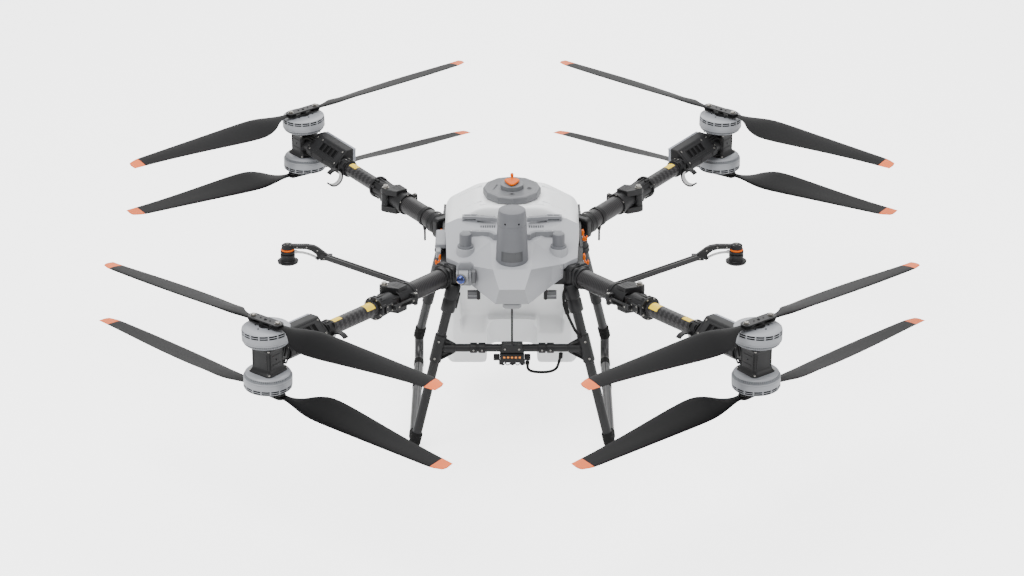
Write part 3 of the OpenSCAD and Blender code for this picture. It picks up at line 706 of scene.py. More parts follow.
# ---------------------------------------------------------------- blades
STATIONS = [(10, 26, 13, 0, 4.8), (34, 29, 14.5, 1, 5.6), (62, 47, 19.5, 5, 7.4), (95, 79, 26.5, 12, 8),
    (140, 100, 32.5, 17, 8.4),
            (200, 103, 33.5, 16, 8), (300, 93, 30.5, 13, 7), (410, 79, 26.5, 10, 6), (520, 64, 21.5, 8, 5),
            (600, 53.5, 16.5, 7, 4),
            (RADIUS - BOLT, 41, 6, 6, 3)]
FOIL = [(0, 0), (0.01, 0.16), (0.03, 0.27), (0.08, 0.41), (0.16, 0.52), (0.3, 0.6), (0.45, 0.57),
    (0.62, 0.47), (0.8, 0.27), (0.93, 0.12),
        (0.995, 0.0), (0.93, -0.10), (0.8, -0.16), (0.62, -0.21), (0.45, -0.29), (0.3, -0.34),
        (0.16, -0.34), (0.08, -0.3), (0.03, -0.2),
        (0.01, -0.12)]


def blade_ring(s):
    w = hermite([(b[0], b[1]) for b in STATIONS], s)
    lead = hermite([(b[0], b[2]) for b in STATIONS], s)
    pitch = math.radians(hermite([(b[0], b[3]) for b in STATIONS], s))
    th = hermite([(b[0], b[4]) for b in STATIONS], s)
    ring = []
    for p, q in FOIL:
        v, h = lead - w * p, th * q
        # the tip is cut back at its leading edge
        cut = 16 * max(0.0, (s - 600) / 37) * max(0.0, 0.35 - p)
        ring.append((s - cut, v * math.cos(pitch) - h * math.sin(pitch),
            v * math.sin(pitch) + h * math.cos(pitch)))
    return ring


def make_blade(a, level, tip):
    s = -1 if tip == "a" else 1
    m = rotor_frame(a, level) @ rot(REST[end_of(a)], "Z") @ move(0, s * BOLT, PLANE) @ rot(s * 90, "Z")
    flipped = (end_of(a) > 0) != (level == "low")
    if flipped:
        m = m @ flip(y=-1)
    n = f"blade_{a}_{level}_{tip}"
    b = Build(n + "_skin", n, m)
    stops = [12, 20, 28, 36, 46, 56, 66, 76, 88, 100, 114, 130, 150, 175, 200, 230, 260, 300, 340, 380, 420,
        460, 500, 540, 575, 596]
    b.skin([blade_ring(x) for x in stops], M["blade"], flip_faces=True)
    b.skin([blade_ring(x) for x in (596, 610, 622, 631, 636.5)], M["tip"], flip_faces=True)
    b.lathe([(4.1, -3.6), (15.6, -3.6), (16.8, -2.6), (16.8, 2.6), (15.6, 3.6), (4.1, 3.6)], M["blade"],
        seg=40)
    return b.done(angle=32, replaces=n, slot="blade_black", outward=True)


# ---------------------------------------------------------------- rotors
def capsule(half, r, n=14):
    return arc(0, half, r, 0, 180, n) + arc(0, -half, r, 180, 360, n)


def make_rotor(a, level):
    n = f"rotor_{a}_{level}"
    m = rotor_frame(a, level) @ rot(REST[end_of(a)], "Z")
    b = Build(n + "_bell", n, m)
    wall = [(64, 58.2), (70.2, 57.8), (70.9, 58.6), (70.9, 61.4), (70.1, 61.9), (70.1, 62.9), (70.9, 63.4),
        (70.9, 79.6), (70.5, 80.0),
            (68.6, 80.0)]
    b.lathe(wall, M["bell"], seg=96, closed=False)
    # painted shade: a near-black sleeve behind the vent slots stands in for the shade inside the bell
    b.lathe([(68.6, 80.0), (68.0, 91.2)], M["void"], seg=96, closed=False)
    b.lathe([(66.8, 91.2), (69.6, 91.2), (69.8, 91.7), (68.6, 93.6), (64.5, 94.9), (45, 95.7), (24, 95.9),
        (20.5, 96.2)], M["bell"], seg=96, closed=False)
    b.lathe([(68.0, 84.9), (70.7, 84.9), (70.6, 86.3), (67.8, 86.3)], M["bell"], seg=96)
    for k in range(16):
        t = rot(k * 22.5 + 6, "Z")
        b.box((67.2, -1.7, 79.8), (70.75, 1.7, 91.5), M["bell"], t)
    b.lathe([(20.5, 95.8), (20, 96.8), (20, 100.4), (9, 100.4)], M["plate"], seg=48, closed=False)
    for k in range(6):
        b.bolt((31 * math.cos(k * math.pi / 3), 31 * math.sin(k * math.pi / 3), 95.6), (0, 0, 1), 2.6, 2.2,
            M["dark_steel"])
    b.done(angle=28, replaces=n, slot="motor_grey", outward=True)
    h = Build(n + "_hub", n, m)
    h.prism(capsule(BOLT, 15), 100.6, 104.4, M["plate"], chamfer=0.7)
    h.prism(capsule(BOLT, 17), 112.7, 116.5, M["plate"], chamfer=0.8)
    h.lathe([(0, 104.4), (9.6, 104.4), (9.6, 112.7), (0, 112.7)], M["nylon"], seg=32, closed=False)
    h.bolt((0, 0, 116.4), (0, 0, 1), 4.2, 2.4, M["dark_steel"])
    for x, y in ((0, 19), (0, -19)):
        h.bolt((x, y, 116.4), (0, 0, 1), 2.4, 1.6, M["dark_steel"])
    for s in (-1, 1):
        y = s * BOLT
        h.lathe([(4.2, 104.4), (14, 104.4), (14, 104.75), (4.2, 104.75)], M["washer"], move(0, y, 0), 40)
        h.lathe([(4.2, 112.25), (14.4, 112.25), (14.4, 112.7), (4.2, 112.7)], M["washer"], move(0, y, 0),
            40)
        h.rod((0, y, 102), (0, y, 117), 3.98, M["steel"], seg=24)
        h.lathe([(0, 116.5), (8.6, 116.5), (8.6, 117.7), (0, 117.7)], M["steel"], move(0, y, 0), 32,
            closed=False)
        h.lathe([(0, 117.6), (6.9, 117.6), (7.2, 118.1), (7.2, 121.2), (6.4, 121.9), (3.4, 121.9),
            (3.0, 120.6), (0, 120.6)], M["steel"],
                move(0, y, 0) @ rot(17, "Z"), 6, closed=False)
    h.done(angle=30, slot="motor_grey")


# ---------------------------------------------------------------- motor pods
def rounded(hx, hy, r, n=5):
    return (arc(hx - r, hy - r, r, 0, 90, n) + arc(-hx + r, hy - r, r, 90, 180, n)
            + arc(-hx + r, -hy + r, r, 180, 270, n) + arc(hx - r, -hy + r, r, 270, 360, n))


def make_base(a, level):
    """Fixed grey plate with the toothed ring under a bell, and the stator inside it."""
    b = Build(f"motor_base_{a}_{level}", "arm_" + a, rotor_frame(a, level))
    b.lathe([(30, 43.4), (55.5, 43.4), (62.5, 46.4), (65.2, 48.8), (65.4, 50.4), (64.2, 51.0)], M["bell"],
        seg=96, closed=False)
    b.lathe([(64.2, 51.0), (62.8, 51.0), (62.8, 55.4), (66.5, 55.4), (68.8, 56.0), (69.0, 56.8),
        (58, 57.0)], M["bell2"], seg=96, closed=False)
    for k in range(66):
        t = rot(k * 360 / 66, "Z")
        b.box((62.4, -1.45, 50.6), (67.0, 1.45, 55.8), M["bell2"], t)
    b.lathe([(58, 56.8), (58, 82), (14.5, 82), (14.5, 57)], M["dark_steel"], seg=64, closed=False)
    # painted shade: near-black blocks between the stator teeth stand in for the shade in the slots
    for k in range(24):
        t = rot(k * 15, "Z")
        b.box((52, -2.6, 57), (60.5, 2.6, 80), M["void"], t)
    b.done(angle=28, slot="motor_grey", outward=False)


def make_block(a):
    m = at_arm(a)
    b = Build("mount_block_" + a, "arm_" + a, m)
    half = 33.6
    b.prism(rounded(half, half, 7), -43.3, 43.3, M["cast"])
    for s in (-1, 1):
        # end flanges swell outwards to the screws at their corners
        rings = []
        for z, grow in ((26, 0.2), (31, 1.2), (36, 4.0), (39.5, 8.5), (43.2, 9.0)):
            rings.append([(x, y, s * z) for x, y in rounded(half + grow, half + grow, 8 + grow * 0.6)])
        b.skin(rings, M["cast"], flip_faces=s < 0)
        for x, y in ((1, 1), (1, -1), (-1, 1), (-1, -1)):
            b.bolt((x * 36.5, y * 36.5, s * 38.6), (0, 0, -s), 3.4, 3.0)
    for k in range(4):
        # corner recess with its guard lips and one screw
        t = rot(45 + 90 * k, "Z")
        b.box((half * 1.19, -6.6, -24), (half * 1.19 + 3.8, -5.0, 22), M["cast"], t)
        b.box((half * 1.19, 5.0, -24), (half * 1.19 + 3.8, 6.6, 22), M["cast"], t)
        b.box((half * 1.19, -6.6, -26), (half * 1.19 + 3.2, 6.6, -23.5), M["cast"], t)
        # painted shade: a near-black sheet at the back of the recess stands in for its shade
        b.box((half * 1.17, -5.0, -23.8), (half * 1.17 + 1.2, 5.0, 22), M["void"], t)
        b.bolt((half * 1.17 + 1.0, 0, 2), (1, 0, 0), 2.6, 2.4, None, t)
        b.box((half * 1.19, -6.6, 22), (half * 1.19 + 3.2, 6.6, 24), M["cast"], t)
    for s in (-1, 1):
        # shallow ribs on the flat sides
        for z in (-14, 14):
            b.box((-17, s * (half - 0.2), z - 1.2), (17, s * (half + 1.1), z + 1.2), M["cast"])
        b.bolt((0, s * (half + 0.2), 0), (0, s, 0), 2.4, 1.6, M["dark_steel"])
    b.done(bevel=0.8, angle=40, replaces="motor_pod_" + a, slot="casting", outward=False)


def make_pod(a):
    """Tube collar, speed-controller housing, heat sink, neighbour hook and motor leads."""
    m = along_arm(a)
    body = "arm_" + a
    b = Build("arm_collar_" + a, body, m)
    b.rod((30, 0, 0), (62, 0, 0), 28.6, M["cast"], seg=48, inner=23.1, chamfer=1.5)
    b.rod((56, 0, 0), (61, 0, 0), 30.5, M["cast"], seg=48, inner=23.1, chamfer=0.8)
    for k in range(6):
        t = rot(30 + 60 * k, "X")
        b.bolt((61, 27, 0), (1, 0, 0), 2.1, 2.0, None, t)
    b.done(angle=34, slot="casting")
    h = Build("controller_housing_" + a, body, m)
    wedge = [(-35.5, -11.5), (-35.5, 3.8), (-33, 7.2), (9.5, 48.4), (13, 49.6), (38.5, 49.6), (38.5, -21.5),
        (23.5, -27.5), (-19.5, -27.5)]
    h.prism(wedge, 63, 235, M["nylon"], YZX, chamfer=1.6)
    slope = Matrix(((1, 0, 0, 0), (0, 0.722, -0.692, -12.0), (0, 0.692, 0.722, 27.0), (0, 0, 0, 1)))
    h.box((70, -30.5, -0.2), (229, -28.2, 1.4), M["nylon"], slope)
    h.box((70, 25.2, -0.2), (229, 27.5, 1.4), M["nylon"], slope)
    h.box((70, -30.5, -0.2), (72.4, 27.5, 1.4), M["nylon"], slope)
    h.box((226.6, -30.5, -0.2), (229, 27.5, 1.4), M["nylon"], slope)
    for k in range(4):
        x = 118 + k * 23
        # painted shade: near-black sheets in the vent openings stand in for the shade inside them
        h.box((x, -12, -0.1), (x + 14.5, 15, 0.7), M["void"], slope)
        for dx in (-2.0, 14.6):
            h.box((x + dx, -14, 0), (x + dx + 1.9, 17, 1.9), M["nylon"], slope)
        h.box((x - 2, 15.1, 0), (x + 16.5, 17.0, 1.9), M["nylon"], slope)
        h.box((x - 2, -14.0, 0), (x + 16.5, -12.1, 1.9), M["nylon"], slope)
    h.box((78, -22, 0), (224, -19.5, 1.0), M["plate"], slope)
    for x, y in ((76, 21), (76, -25), (223, 21), (223, -25), (105, 21)):
        h.bolt((x, y, 0.4), (0, 0, 1), 3.0, 2.0, None, slope)
    for x in (84, 150, 214):
        h.box((x, -36.6, -9), (x + 12, -35.0, 3), M["nylon"])
        h.bolt((x + 6, -36.2, -3), (0, -1, 0), 2.2, 1.5, M["dark_steel"])
    # saddle clamps round the tube
    for x in (72, 216):
        h.rod((x, 0, 0), (x + 16, 0, 0), 27.5, M["nylon"], seg=48, inner=23.1, chamfer=1.0)
    h.done(angle=34, slot="casting")
    f = Build("heat_sink_" + a, body, m)
    f.box((64, 37.5, -17), (234, 41.5, 47), M["fin"])
    for k in range(27):
        x = 66 + k * 6.25
        f.box((x, 41, -16), (x + 1.7, 50.8, 46), M["fin"])
    f.box((64, 37.5, 45.4), (234, 50.6, 47.2), M["fin"])
    f.done(bevel=0.3, angle=40, slot="casting")
    c = Build("arm_hook_" + a, body, m)
    cy, cz, r = -54.0, -22.0, 24.5
    c.prism(arc(cy, cz, r + 6, -142, 142, 40) + arc(cy, cz, r + 1.2, 142, -142, 40), 249, 267, M["nylon"],
        YZX)
    c.prism(arc(cy, cz, r + 1.1, -138, 138, 40) + arc(cy, cz, r + 0.2, 138, -138, 40), 250, 266,
        M["washer"], YZX)
    c.rod((241, 0, 0), (273, 0, 0), 28.8, M["nylon"], seg=48, inner=23.1, chamfer=1.0)
    for z0, z1, x in ((-8, 27, 244), (-8, 27, 266)):
        c.prism([(-27, z0 - 10), (-27, z1 - 6), (-20, z1), (-12, z1 - 2), (-16, z0)], x, x + 4, M["nylon"],
            YZX)
    for k in (-1, 1):
        c.box((246, k * 6 - 3, 24), (268, k * 6 + 3, 30.0), M["nylon"])
        c.bolt((257, k * 6, 29.5), (0, 0, 1), 2.3, 2.2)
    c.done(bevel=0.5, angle=34, slot="casting")
    w = Build("motor_leads_" + a, body, m)
    for i, (y, z) in enumerate(((-20, 34), (-11, 37), (-2, 40))):
        w.sweep([(72, y + 4, z - 6), (60, y - 4, z + 2), (50, y - 10, z + 2), (42, y - 14, z - 8),
            (36, y - 16, z - 20), (33, y - 15, z - 34)], 2.6, M["rubber"], seg=10)
    for i, (y, z) in enumerate(((-18, -22), (-9, -25), (0, -27))):
        w.sweep([(72, y + 2, z + 4), (60, y - 4, z - 3), (48, y - 10, z - 6), (40, y - 13, z - 2),
            (34, y - 14, z + 8)], 2.6, M["rubber"], seg=10)
    w.done(slot="casting")


# ---------------------------------------------------------------- arm tubes and fold hinges
def patch(b, x0, x1, r, a0, a1, mat, t=0.25, n=12):
    """Thin label wrapped round the tube from angle a0 to a1, in degrees about X from +Y."""
    verts, f, uvs = [], [], []
    for i in range(n + 1):
        a = math.radians(a0 + (a1 - a0) * i / n)
        for x in (x0, x1):
            verts.append((x, (r + t) * math.cos(a), (r + t) * math.sin(a)))
    for i in range(n):
        f.append((2 * i, 2 * i + 1, 2 * i + 3, 2 * i + 2))
        v0, v1 = (r * math.radians(a0 + (a1 - a0) * k / n) for k in (i, i + 1))
        uvs.append([(x0, v0), (x1, v0), (x1, v1), (x0, v1)])
    b.faces(verts, f, mat, None, uvs)


def make_arm(a):
    e = end_of(a)
    h = HINGE[e]
    body = "arm_" + a
    t = Build("outer_tube_" + a, body, along_arm(a))
    t.rod((27, 0, 0), (h - 60, 0, 0), 23.0, M["twill"], seg=72, inner=21.5)
    t.done(angle=34, replaces="arm_tube_" + a, slot="carbon")
    s = Build("arm_labels_" + a, body, along_arm(a))
    # the two labels face up and towards the front
    patch(s, 283, 319, 23.05, 40, 118 if e < 0 else 120, M["sticker"])
    patch(s, 424, 462, 23.05, 62, 150 if e < 0 else 140, M["sticker"])
    if a == "rl":
        patch(s, 436, 446, 23.3, 96, 108, M["orange"])
    s.done(slot="carbon")
    k = Build("outer_knuckle_" + a, body, fold_frame(a))
    c = M["cast"]
    k.rod((h - 86, 0, 0), (h - 16, 0, 0), 30.6, c, seg=56, inner=23.1, chamfer=1.2)
    k.rod((h - 92, 0, 0), (h - 84, 0, 0), 36.4, c, seg=56, inner=23.1, chamfer=1.0)
    for i in range(8):
        tt = rot(22.5 + 45 * i, "X")
        k.rod((h - 91, 32.2, 0), (h - 70, 32.2, 0), 4.2, c, tt, seg=20, chamfer=0.6)
        k.bolt((h - 92, 32.2, 0), (-1, 0, 0), 2.9, 2.6, None, tt)
    k.box((h - 30, -26.6, -19.8), (h - 0.7, 26.6, 19.8), c)
    k.box((h - 34, 2, -19.8), (h - 2, PIN_SIDE - 1, 19.8), c)
    k.lathe([(6.2, -19.9), (13.2, -19.9), (13.9, -19.2), (13.9, 19.2), (13.2, 19.9), (6.2, 19.9)], c,
        move(h, PIN_SIDE, 0), 40)
    # ribs from the flange down to the hinge block
    for i in range(10):
        tt = rot(36 * i + 18, "X")
        k.prism([(h - 84, 28), (h - 20, 28), (h - 20, 29.5), (h - 84, 34.5)], -1.4, 1.4, c, tt)
    k.box((h - 74, -35.5, -12), (h - 40, -29.5, 12), c)
    for x in (h - 68, h - 46):
        k.bolt((x, -35, 8), (0, -1, 0), 2.6, 2.0)
        k.bolt((x, -35, -8), (0, -1, 0), 2.6, 2.0)
    k.done(bevel=0.6, angle=34, slot="casting")


def make_fork(a):
    e = end_of(a)
    h = HINGE[e]
    m = fold_frame(a)
    c = M["cast"]
    b = Build("inner_fork_" + a, "root", m)
    b.rod((h + 0.8, 0, 0), (h + 72, 0, 0), 32.6, c, seg=56, inner=30.1, chamfer=1.0)
    b.rod((h + 64, 0, 0), (h + 76, 0, 0), 35.6, c, seg=56, inner=30.1, chamfer=1.2)
    nose = arc(h, PIN_SIDE, 14.7, 200, 72, 18)
    lug = nose + [(h + 14, PIN_SIDE + 10), (h + 46, 23), (h + 46, -19), (h + 4, -19)]
    for s in (-1, 1):
        z0, z1 = sorted((s * 20.6, s * 40.8))
        b.prism(lug, z0, z1, c, chamfer=1.4)
        # web pattern on the lug's face
        for i in range(4):
            x = h + 12 + i * 9
            b.box((x, -14 + i * 2, s * 40.4 - 0.9), (x + 2.2, 20 - i * 2, s * 40.4 + 0.9), c)
    b.lathe([(0, -41.5), (7.5, -41.5), (7.5, -44), (0, -44)][::-1], M["steel"], move(h, PIN_SIDE, 0), 24,
        closed=False)
    b.lathe([(0, 40.8), (11, 40.8), (11, 42.2), (0, 42.2)], M["steel"], move(h, PIN_SIDE, 0), 32,
        closed=False)
    b.lathe([(0, 42.0), (8.4, 42.0), (8.8, 42.6), (8.8, 48), (7.8, 49.4), (4.2, 49.4), (3.8, 47), (0, 47)],
        M["steel"], move(h, PIN_SIDE, 0), 6, closed=False)
    for i in range(6):
        tt = rot(30 + 60 * i, "X")
        b.bolt((h + 76, 33, 0), (1, 0, 0), 2.4, 2.2, None, tt)
    # latch post with its cheeks
    y0 = -45.0
    for z0, z1 in ((-17, -9), (9, 17)):
        b.prism(arc(h + 53, y0, 8, 180, 360, 10) + [(h + 61.5, -29.5), (h + 44.5, -29.5)], z0, z1, c,
            chamfer=0.8)
        b.bolt((h + 53, y0, z1 if z1 > 0 else z0), (0, 0, 1 if z1 > 0 else -1), 5.0, 3.2)
    b.done(bevel=0.6, angle=34, slot="casting", outward=True)
    l = Build("latch_lever_" + a, "latch_" + a, m)
    l.lathe([(4.2, -7.8), (8.2, -7.8), (8.8, -7.2), (8.8, 7.2), (8.2, 7.8), (4.2, 7.8)], c,
        move(h + 53, y0, 0), 32)
    l.prism([(h + 46, -49.6), (h - 38, -49.6), (h - 43.6, -46.5), (h - 43.6, -40.4), (h + 46, -40.4)], -7.8,
        7.8, c, chamfer=1.0)
    l.prism([(h - 45.6, -49.2), (h - 36.6, -49.2), (h - 36.6, -36.6), (h - 45.6, -36.6)], -7.4, 7.4, c,
        chamfer=0.8)
    # painted shade: a near-black strip stands in for the shade in a slot on the lever's face
    l.box((h - 20, -50.2, -4), (h + 30, -49.0, 4), M["void"])
    l.box((h - 10, -40.6, -3), (h + 24, -39.4, 3), M["orange"])
    l.bolt((h - 30, -49.5, 0), (0, -1, 0), 2.8, 2.0)
    l.bolt((h + 38, -49.5, 0), (0, -1, 0), 2.8, 2.0)
    l.done(bevel=0.5, angle=34, replaces="fold_latch_" + a, slot="casting")


def make_inner_tubes():
    for n, a in enumerate(ARMS):
        e = end_of(a)
        b = Build("inner_tube_" + a, "root", along_arm(a))
        b.rod((HINGE[e] + 24, 0, 0), (TUBE_END[e] - 1, 0, 0), 29.9, M["band"], seg=80, inner=28)
        b.done(angle=34, replaces="inner_arms" if n == 0 else (), slot="carbon")


camera_data = bpy.data.cameras.new("view")
camera = bpy.data.objects.new("view", camera_data)
bpy.context.scene.collection.objects.link(camera)
camera_data.sensor_width = 36.0
camera_data.lens = 105.06
camera_data.shift_y = -0.0032
camera_data.clip_start = 0.5
camera_data.clip_end = 60
camera.location = (0, -8.5623, 4.3144)
camera.rotation_euler = (math.radians(90 - 24.2725), 0, 0)
bpy.context.scene.camera = camera

for a in ARMS:
    for level in LEVELS:
        make_rotor(a, level)
        make_base(a, level)
        for tip in ("a", "b"):
            make_blade(a, level, tip)
    make_block(a)
    make_pod(a)
    make_arm(a)
    make_fork(a)
make_inner_tubes()


# ---------------------------------------------------------------- front shell and what stands on it
def make_shell():
    b = Build("shell_cover", "root")
    half = {
        "R": (168, -7.5, 683.5), "S": (207.5, -7.5, 664.5), "D": (201, -155, 615), "E": (158.5, -187, 608),
        "F": (156, -191, 563),
        "G": (119.7, -221, 548), "H": (50.6, -300, 524), "I": (38.6, -334, 587), "J": (58, -280, 630),
        "K": (122.3, -216, 614),
        "L": (67, -120, 653), "S0": (207.5, -7.5, 596), "D0": (201, -155, 592), "E0": (157.5, -189, 592),
        "N": (50, -238, 521),
        "P": (100, -7.5, 676),
    }
    keys = list(half)
    verts, idx = [], {}
    for side in (1, -1):
        for k in keys:
            x, y, z = half[k]
            idx[k, side] = len(verts)
            verts.append((x * side, y, z))
    faces = []
    mats = []

    def f(mat, *names):
        ids = []
        for n in names:
            side = -1 if n.endswith("-") else 1
            ids.append(idx[n.rstrip("-"), side])
        faces.append(ids)
        mats.append(mat)
        if not any(n.endswith("-") for n in names):
            faces.append([i + (len(keys) if i < len(keys) else -len(keys)) for i in ids][::-1])
            mats.append(mat)

    f("shell", "P-", "L-", "L", "P")
    f("shell", "P", "L", "R")
    f("shell", "R", "L", "E", "D", "S")
    f("shell", "L-", "J-", "J", "L")
    f("shell", "L", "J", "K", "E")
    f("shell", "J-", "I-", "I", "J")
    f("chin", "I-", "H-", "H", "I")
    f("shell", "J", "I", "H", "G", "K")
    f("shell", "K", "G", "F", "E")
    f("shell", "S", "D", "D0", "S0")
    f("shell", "D", "E", "E0", "D0")
    f("shell", "E", "F", "E0")
    f("chin", "H-", "N-", "N", "H")
    f("chin", "H", "N", "G")
    for mat in ("shell", "chin"):
        sel = [fc for fc, mt in zip(faces, mats) if mt == mat]
        b.faces(verts, sel, M[mat])
    bmesh.ops.remove_doubles(b.bm, verts=b.bm.verts, dist=0.01)
    bmesh.ops.solidify(b.bm, geom=b.bm.faces[:], thickness=2.5)
    o = b.done(bevel=5.0, angle=7, replaces="front_shell", slot="shell_grey", segments=3)
    d = Build("shell_details", "root")
    # raised ring round the tower's foot, antenna bosses, screws and the seam lines
    d.lathe([(50.2, 628), (58, 630), (57, 636), (53, 641), (50.2, 644)], M["shell"],
        move(0, TOWER_Y, 0) @ rot(-9, "X"), 72)
    for s in (-1, 1):
        for p, n in (((s * 44, -308, 545), (0, -0.7, -0.3)), ((s * 150, -196.5, 600), (s * 0.3, -0.9, 0.2)),
                     ((s * 118, -222.5, 560), (s * 0.5, -0.8, -0.1)),
                     ((s * 152, -194, 572), (s * 0.4, -0.9, 0))):
            d.bolt(p, n, 3.0, 1.6, M["washer"])
        d.lathe([(25.4, 641), (30.2, 612), (32.2, 611), (27.2, 642.5), (25.4, 643)], M["shell"],
            move(s * 143, -136, 0), 48)
        # panel seam
        d.sweep([(s * 159.5, -188.2, 607), (s * 157.4, -191.6, 585), (s * 156.8, -192.4, 565)], 0.9,
            M["bracket_d"], seg=6, smooth=0)
        d.box(*sorted_box((s * 97, -207, 498), (s * 137, -196, 524)), M["bracket_d"])
        d.box(*sorted_box((s * 99, -208.5, 508), (s * 135, -206.5, 511)), M["chin"])
        # short rod antenna below the shell
        d.rod((s * 103, -228, 540), (s * 103, -228, 506), 4.6, M["nylon"], seg=20, chamfer=2.0)
        d.box(*sorted_box((s * 98, -232, 536), (s * 108, -200, 541)), M["nylon"])
    # small front cover over the rod that ties shell and crossbar
    d.prism([(-29, 0), (-22, -12), (22, -12), (29, 0), (22, 10), (-22, 10)], 499, 516, M["chin"],
        move(0, -272, 0), chamfer=3)
    d.prism([(-34, -2), (34, -2), (30, 8), (-30, 8)], 508, 519, M["chin"], move(0, -262, 0), chamfer=2)
    d.rod((0, -262, 505), (0, -232, 352), 3.2, M["nylon"], seg=16)
    d.done(bevel=0.4, angle=34, slot="shell_grey")
    return o


def sorted_box(p, q):
    return tuple(min(a, b) for a, b in zip(p, q)), tuple(max(a, b) for a, b in zip(p, q))


def make_tower():
    t = move(0, TOWER_Y, 0)
    b = Build("tower_case", "root", t)
    b.lathe([(0, 801.6), (37.5, 801.6), (40.4, 800.4), (41.4, 798), (43.9, 778), (44.4, 775),
        (44.5, 756.6)], M["tower"], seg=96, closed=False)
    b.lathe([(44.5, 756.6), (43.9, 756.0), (43.9, 754.8), (44.7, 754.2), (49.6, 640), (49.9, 636),
        (49.9, 591), (0, 591)], M["tower"], seg=96, closed=False)
    b.done(angle=30, replaces="sensor_tower", slot="tower_grey", outward=True)
    d = Build("tower_details", "root", t)
    for a0, a1, z0, z1, mat in ((-131, -49, 646, 678, "window"),):
        n = 24
        pts = []
        for i in range(n + 1):
            a = math.radians(a0 + (a1 - a0) * i / n)
            pts.append((math.cos(a), math.sin(a)))
        for i in range(n):
            (c0, s0), (c1, s1) = pts[i], pts[i + 1]
            r0, r1 = 49.9 - (z0 - 640) * 0.043 + 0.35, 49.9 - (z1 - 640) * 0.043 + 0.35
            d.faces([(r0 * c0, r0 * s0, z0), (r0 * c1, r0 * s1, z0), (r1 * c1, r1 * s1, z1),
                (r1 * c0, r1 * s0, z1)], [(0, 1, 2, 3)], M[mat])
    # painted shade: near-black plugs stand in for the shade inside small holes in the case
    for a in (-118, -62, 28, 152):
        r = 44.0
        c, s = math.cos(math.radians(a)), math.sin(math.radians(a))
        d.rod((r * c * 0.98, r * s * 0.98, 768), (r * c * 1.012, r * s * 1.012, 768), 3.0, M["void"],
            seg=20)
    d.done(angle=30, slot="tower_grey")


def make_antennas():
    b = Build("antenna_caps", "root")
    for s in (-1, 1):
        t = move(s * 143, -136, 0)
        b.lathe([(29.4, 606.5), (28.8, 609), (25.2, 640), (24.8, 647), (23.4, 649.4), (19.2, 649.8),
            (18.9, 652), (18.9, 684), (17.8, 687.2),
                 (14.5, 688.6), (0, 688.8)], M["tower"], t, 48, closed=False)
    b.done(angle=34, replaces="antennas", slot="tower_grey", outward=True)


def make_brackets():
    b = Build("deck_brackets", "root")
    g, gd = M["bracket"], M["bracket_d"]
    for s in (-1, 1):
        t = flip(x=s) @ move(0, 0, 13.5)
        # upper bracket: clip block and its curved arm
        arm = [(112, -8), (100, -9), (84, -13), (68, -17), (52, -18), (46, -30), (47, -36), (60, -30),
            (78, -29), (96, -25), (112, -23)]
        b.prism([(x, y) for x, y in arm], 668, 682, g, t, chamfer=1.4)
        b.box((108, -22, 658), (153, -5, 668), g, t)
        b.box((106, -23, 672), (153, -15, 682.5), g, t, chamfer=1.2)
        b.box((108, -9, 676), (150, -3.5, 682.5), g, t)
        b.box((148, -22, 660), (154.5, -5, 682), g, t)
        b.box((112, -19, 668.2), (147, -9, 672), gd, t)
        # lower bracket
        t = flip(x=s) @ move(0, -26, -5)
        arm = [(118, -49), (104, -52), (88, -53), (72, -54), (58, -62), (50, -76), (46, -87), (56, -88),
            (62, -78), (72, -68), (90, -66), (106, -66), (118, -64)]
        b.prism([(x, y) for x, y in arm], 655, 680, g, t, chamfer=1.4)
        b.box((112, -64, 650), (154, -46.5, 662), g, t)
        b.box((110, -64.5, 664), (154, -55, 680.5), g, t, chamfer=1.2)
        b.box((116, -58, 662), (148, -50, 666), gd, t)
        # ribbed block between tower and tank
        t = flip(x=s)
        for k in range(7):
            b.box((52 + k * 7, -46, 655), (56 + k * 7, -34, 671), gd, t)
        b.box((50, -44, 655), (100, -36, 666), gd, t)
        for x, y, z in ((128, -12, 695.8), (100, -17, 695.3), (52, -27, 695.3), (126, -86, 675.3),
                (100, -86, 674.8)):
            b.bolt((x, y, z), (0, 0, 1), 2.0, 1.0, M["washer"], t)
    b.done(bevel=0.8, angle=34, replaces="deck_fittings", slot="bracket_grey")
    h = Build("rail_hooks", "root")
    for s in (-1, 1):
        t = flip(x=s)
        for y in (-92, 98):
            hook = [(0, 30), (5, 32), (8, 24), (6.5, 14), (9, 6), (13, 5), (15, 10), (19, 8), (18, -1),
                (11, -6), (3, -4), (-1, 6), (0, 18)]
            h.prism([(x, z + 568) for x, z in hook], -7, 7, M["orange"],
                t @ move(219.8, y, 0) @ rot(90, "X"), chamfer=1.2)
            h.bolt((220.2, y - 12, 580), (1, 0, 0), 3.4, 2.4, M["washer"], t)
            h.bolt((220.2, y + 12, 580), (1, 0, 0), 3.4, 2.4, M["washer"], t)
            h.bolt((220.2, y - 12, 560), (1, 0, 0), 3.0, 2.4, None, t)
    h.done(bevel=0.5, angle=34, slot="orange")
    c = Build("side_clip", "root")
    c.box((-236, -96, 586), (-220, 62, 612), M["chin"], chamfer=3)
    c.box((-238, -70, 606), (-204, 44, 624), M["bracket"], chamfer=3)
    c.box((-239.2, -30, 592), (-236, 20, 608), M["bracket_d"])
    c.done(bevel=0.8, angle=34, slot="bracket_grey")


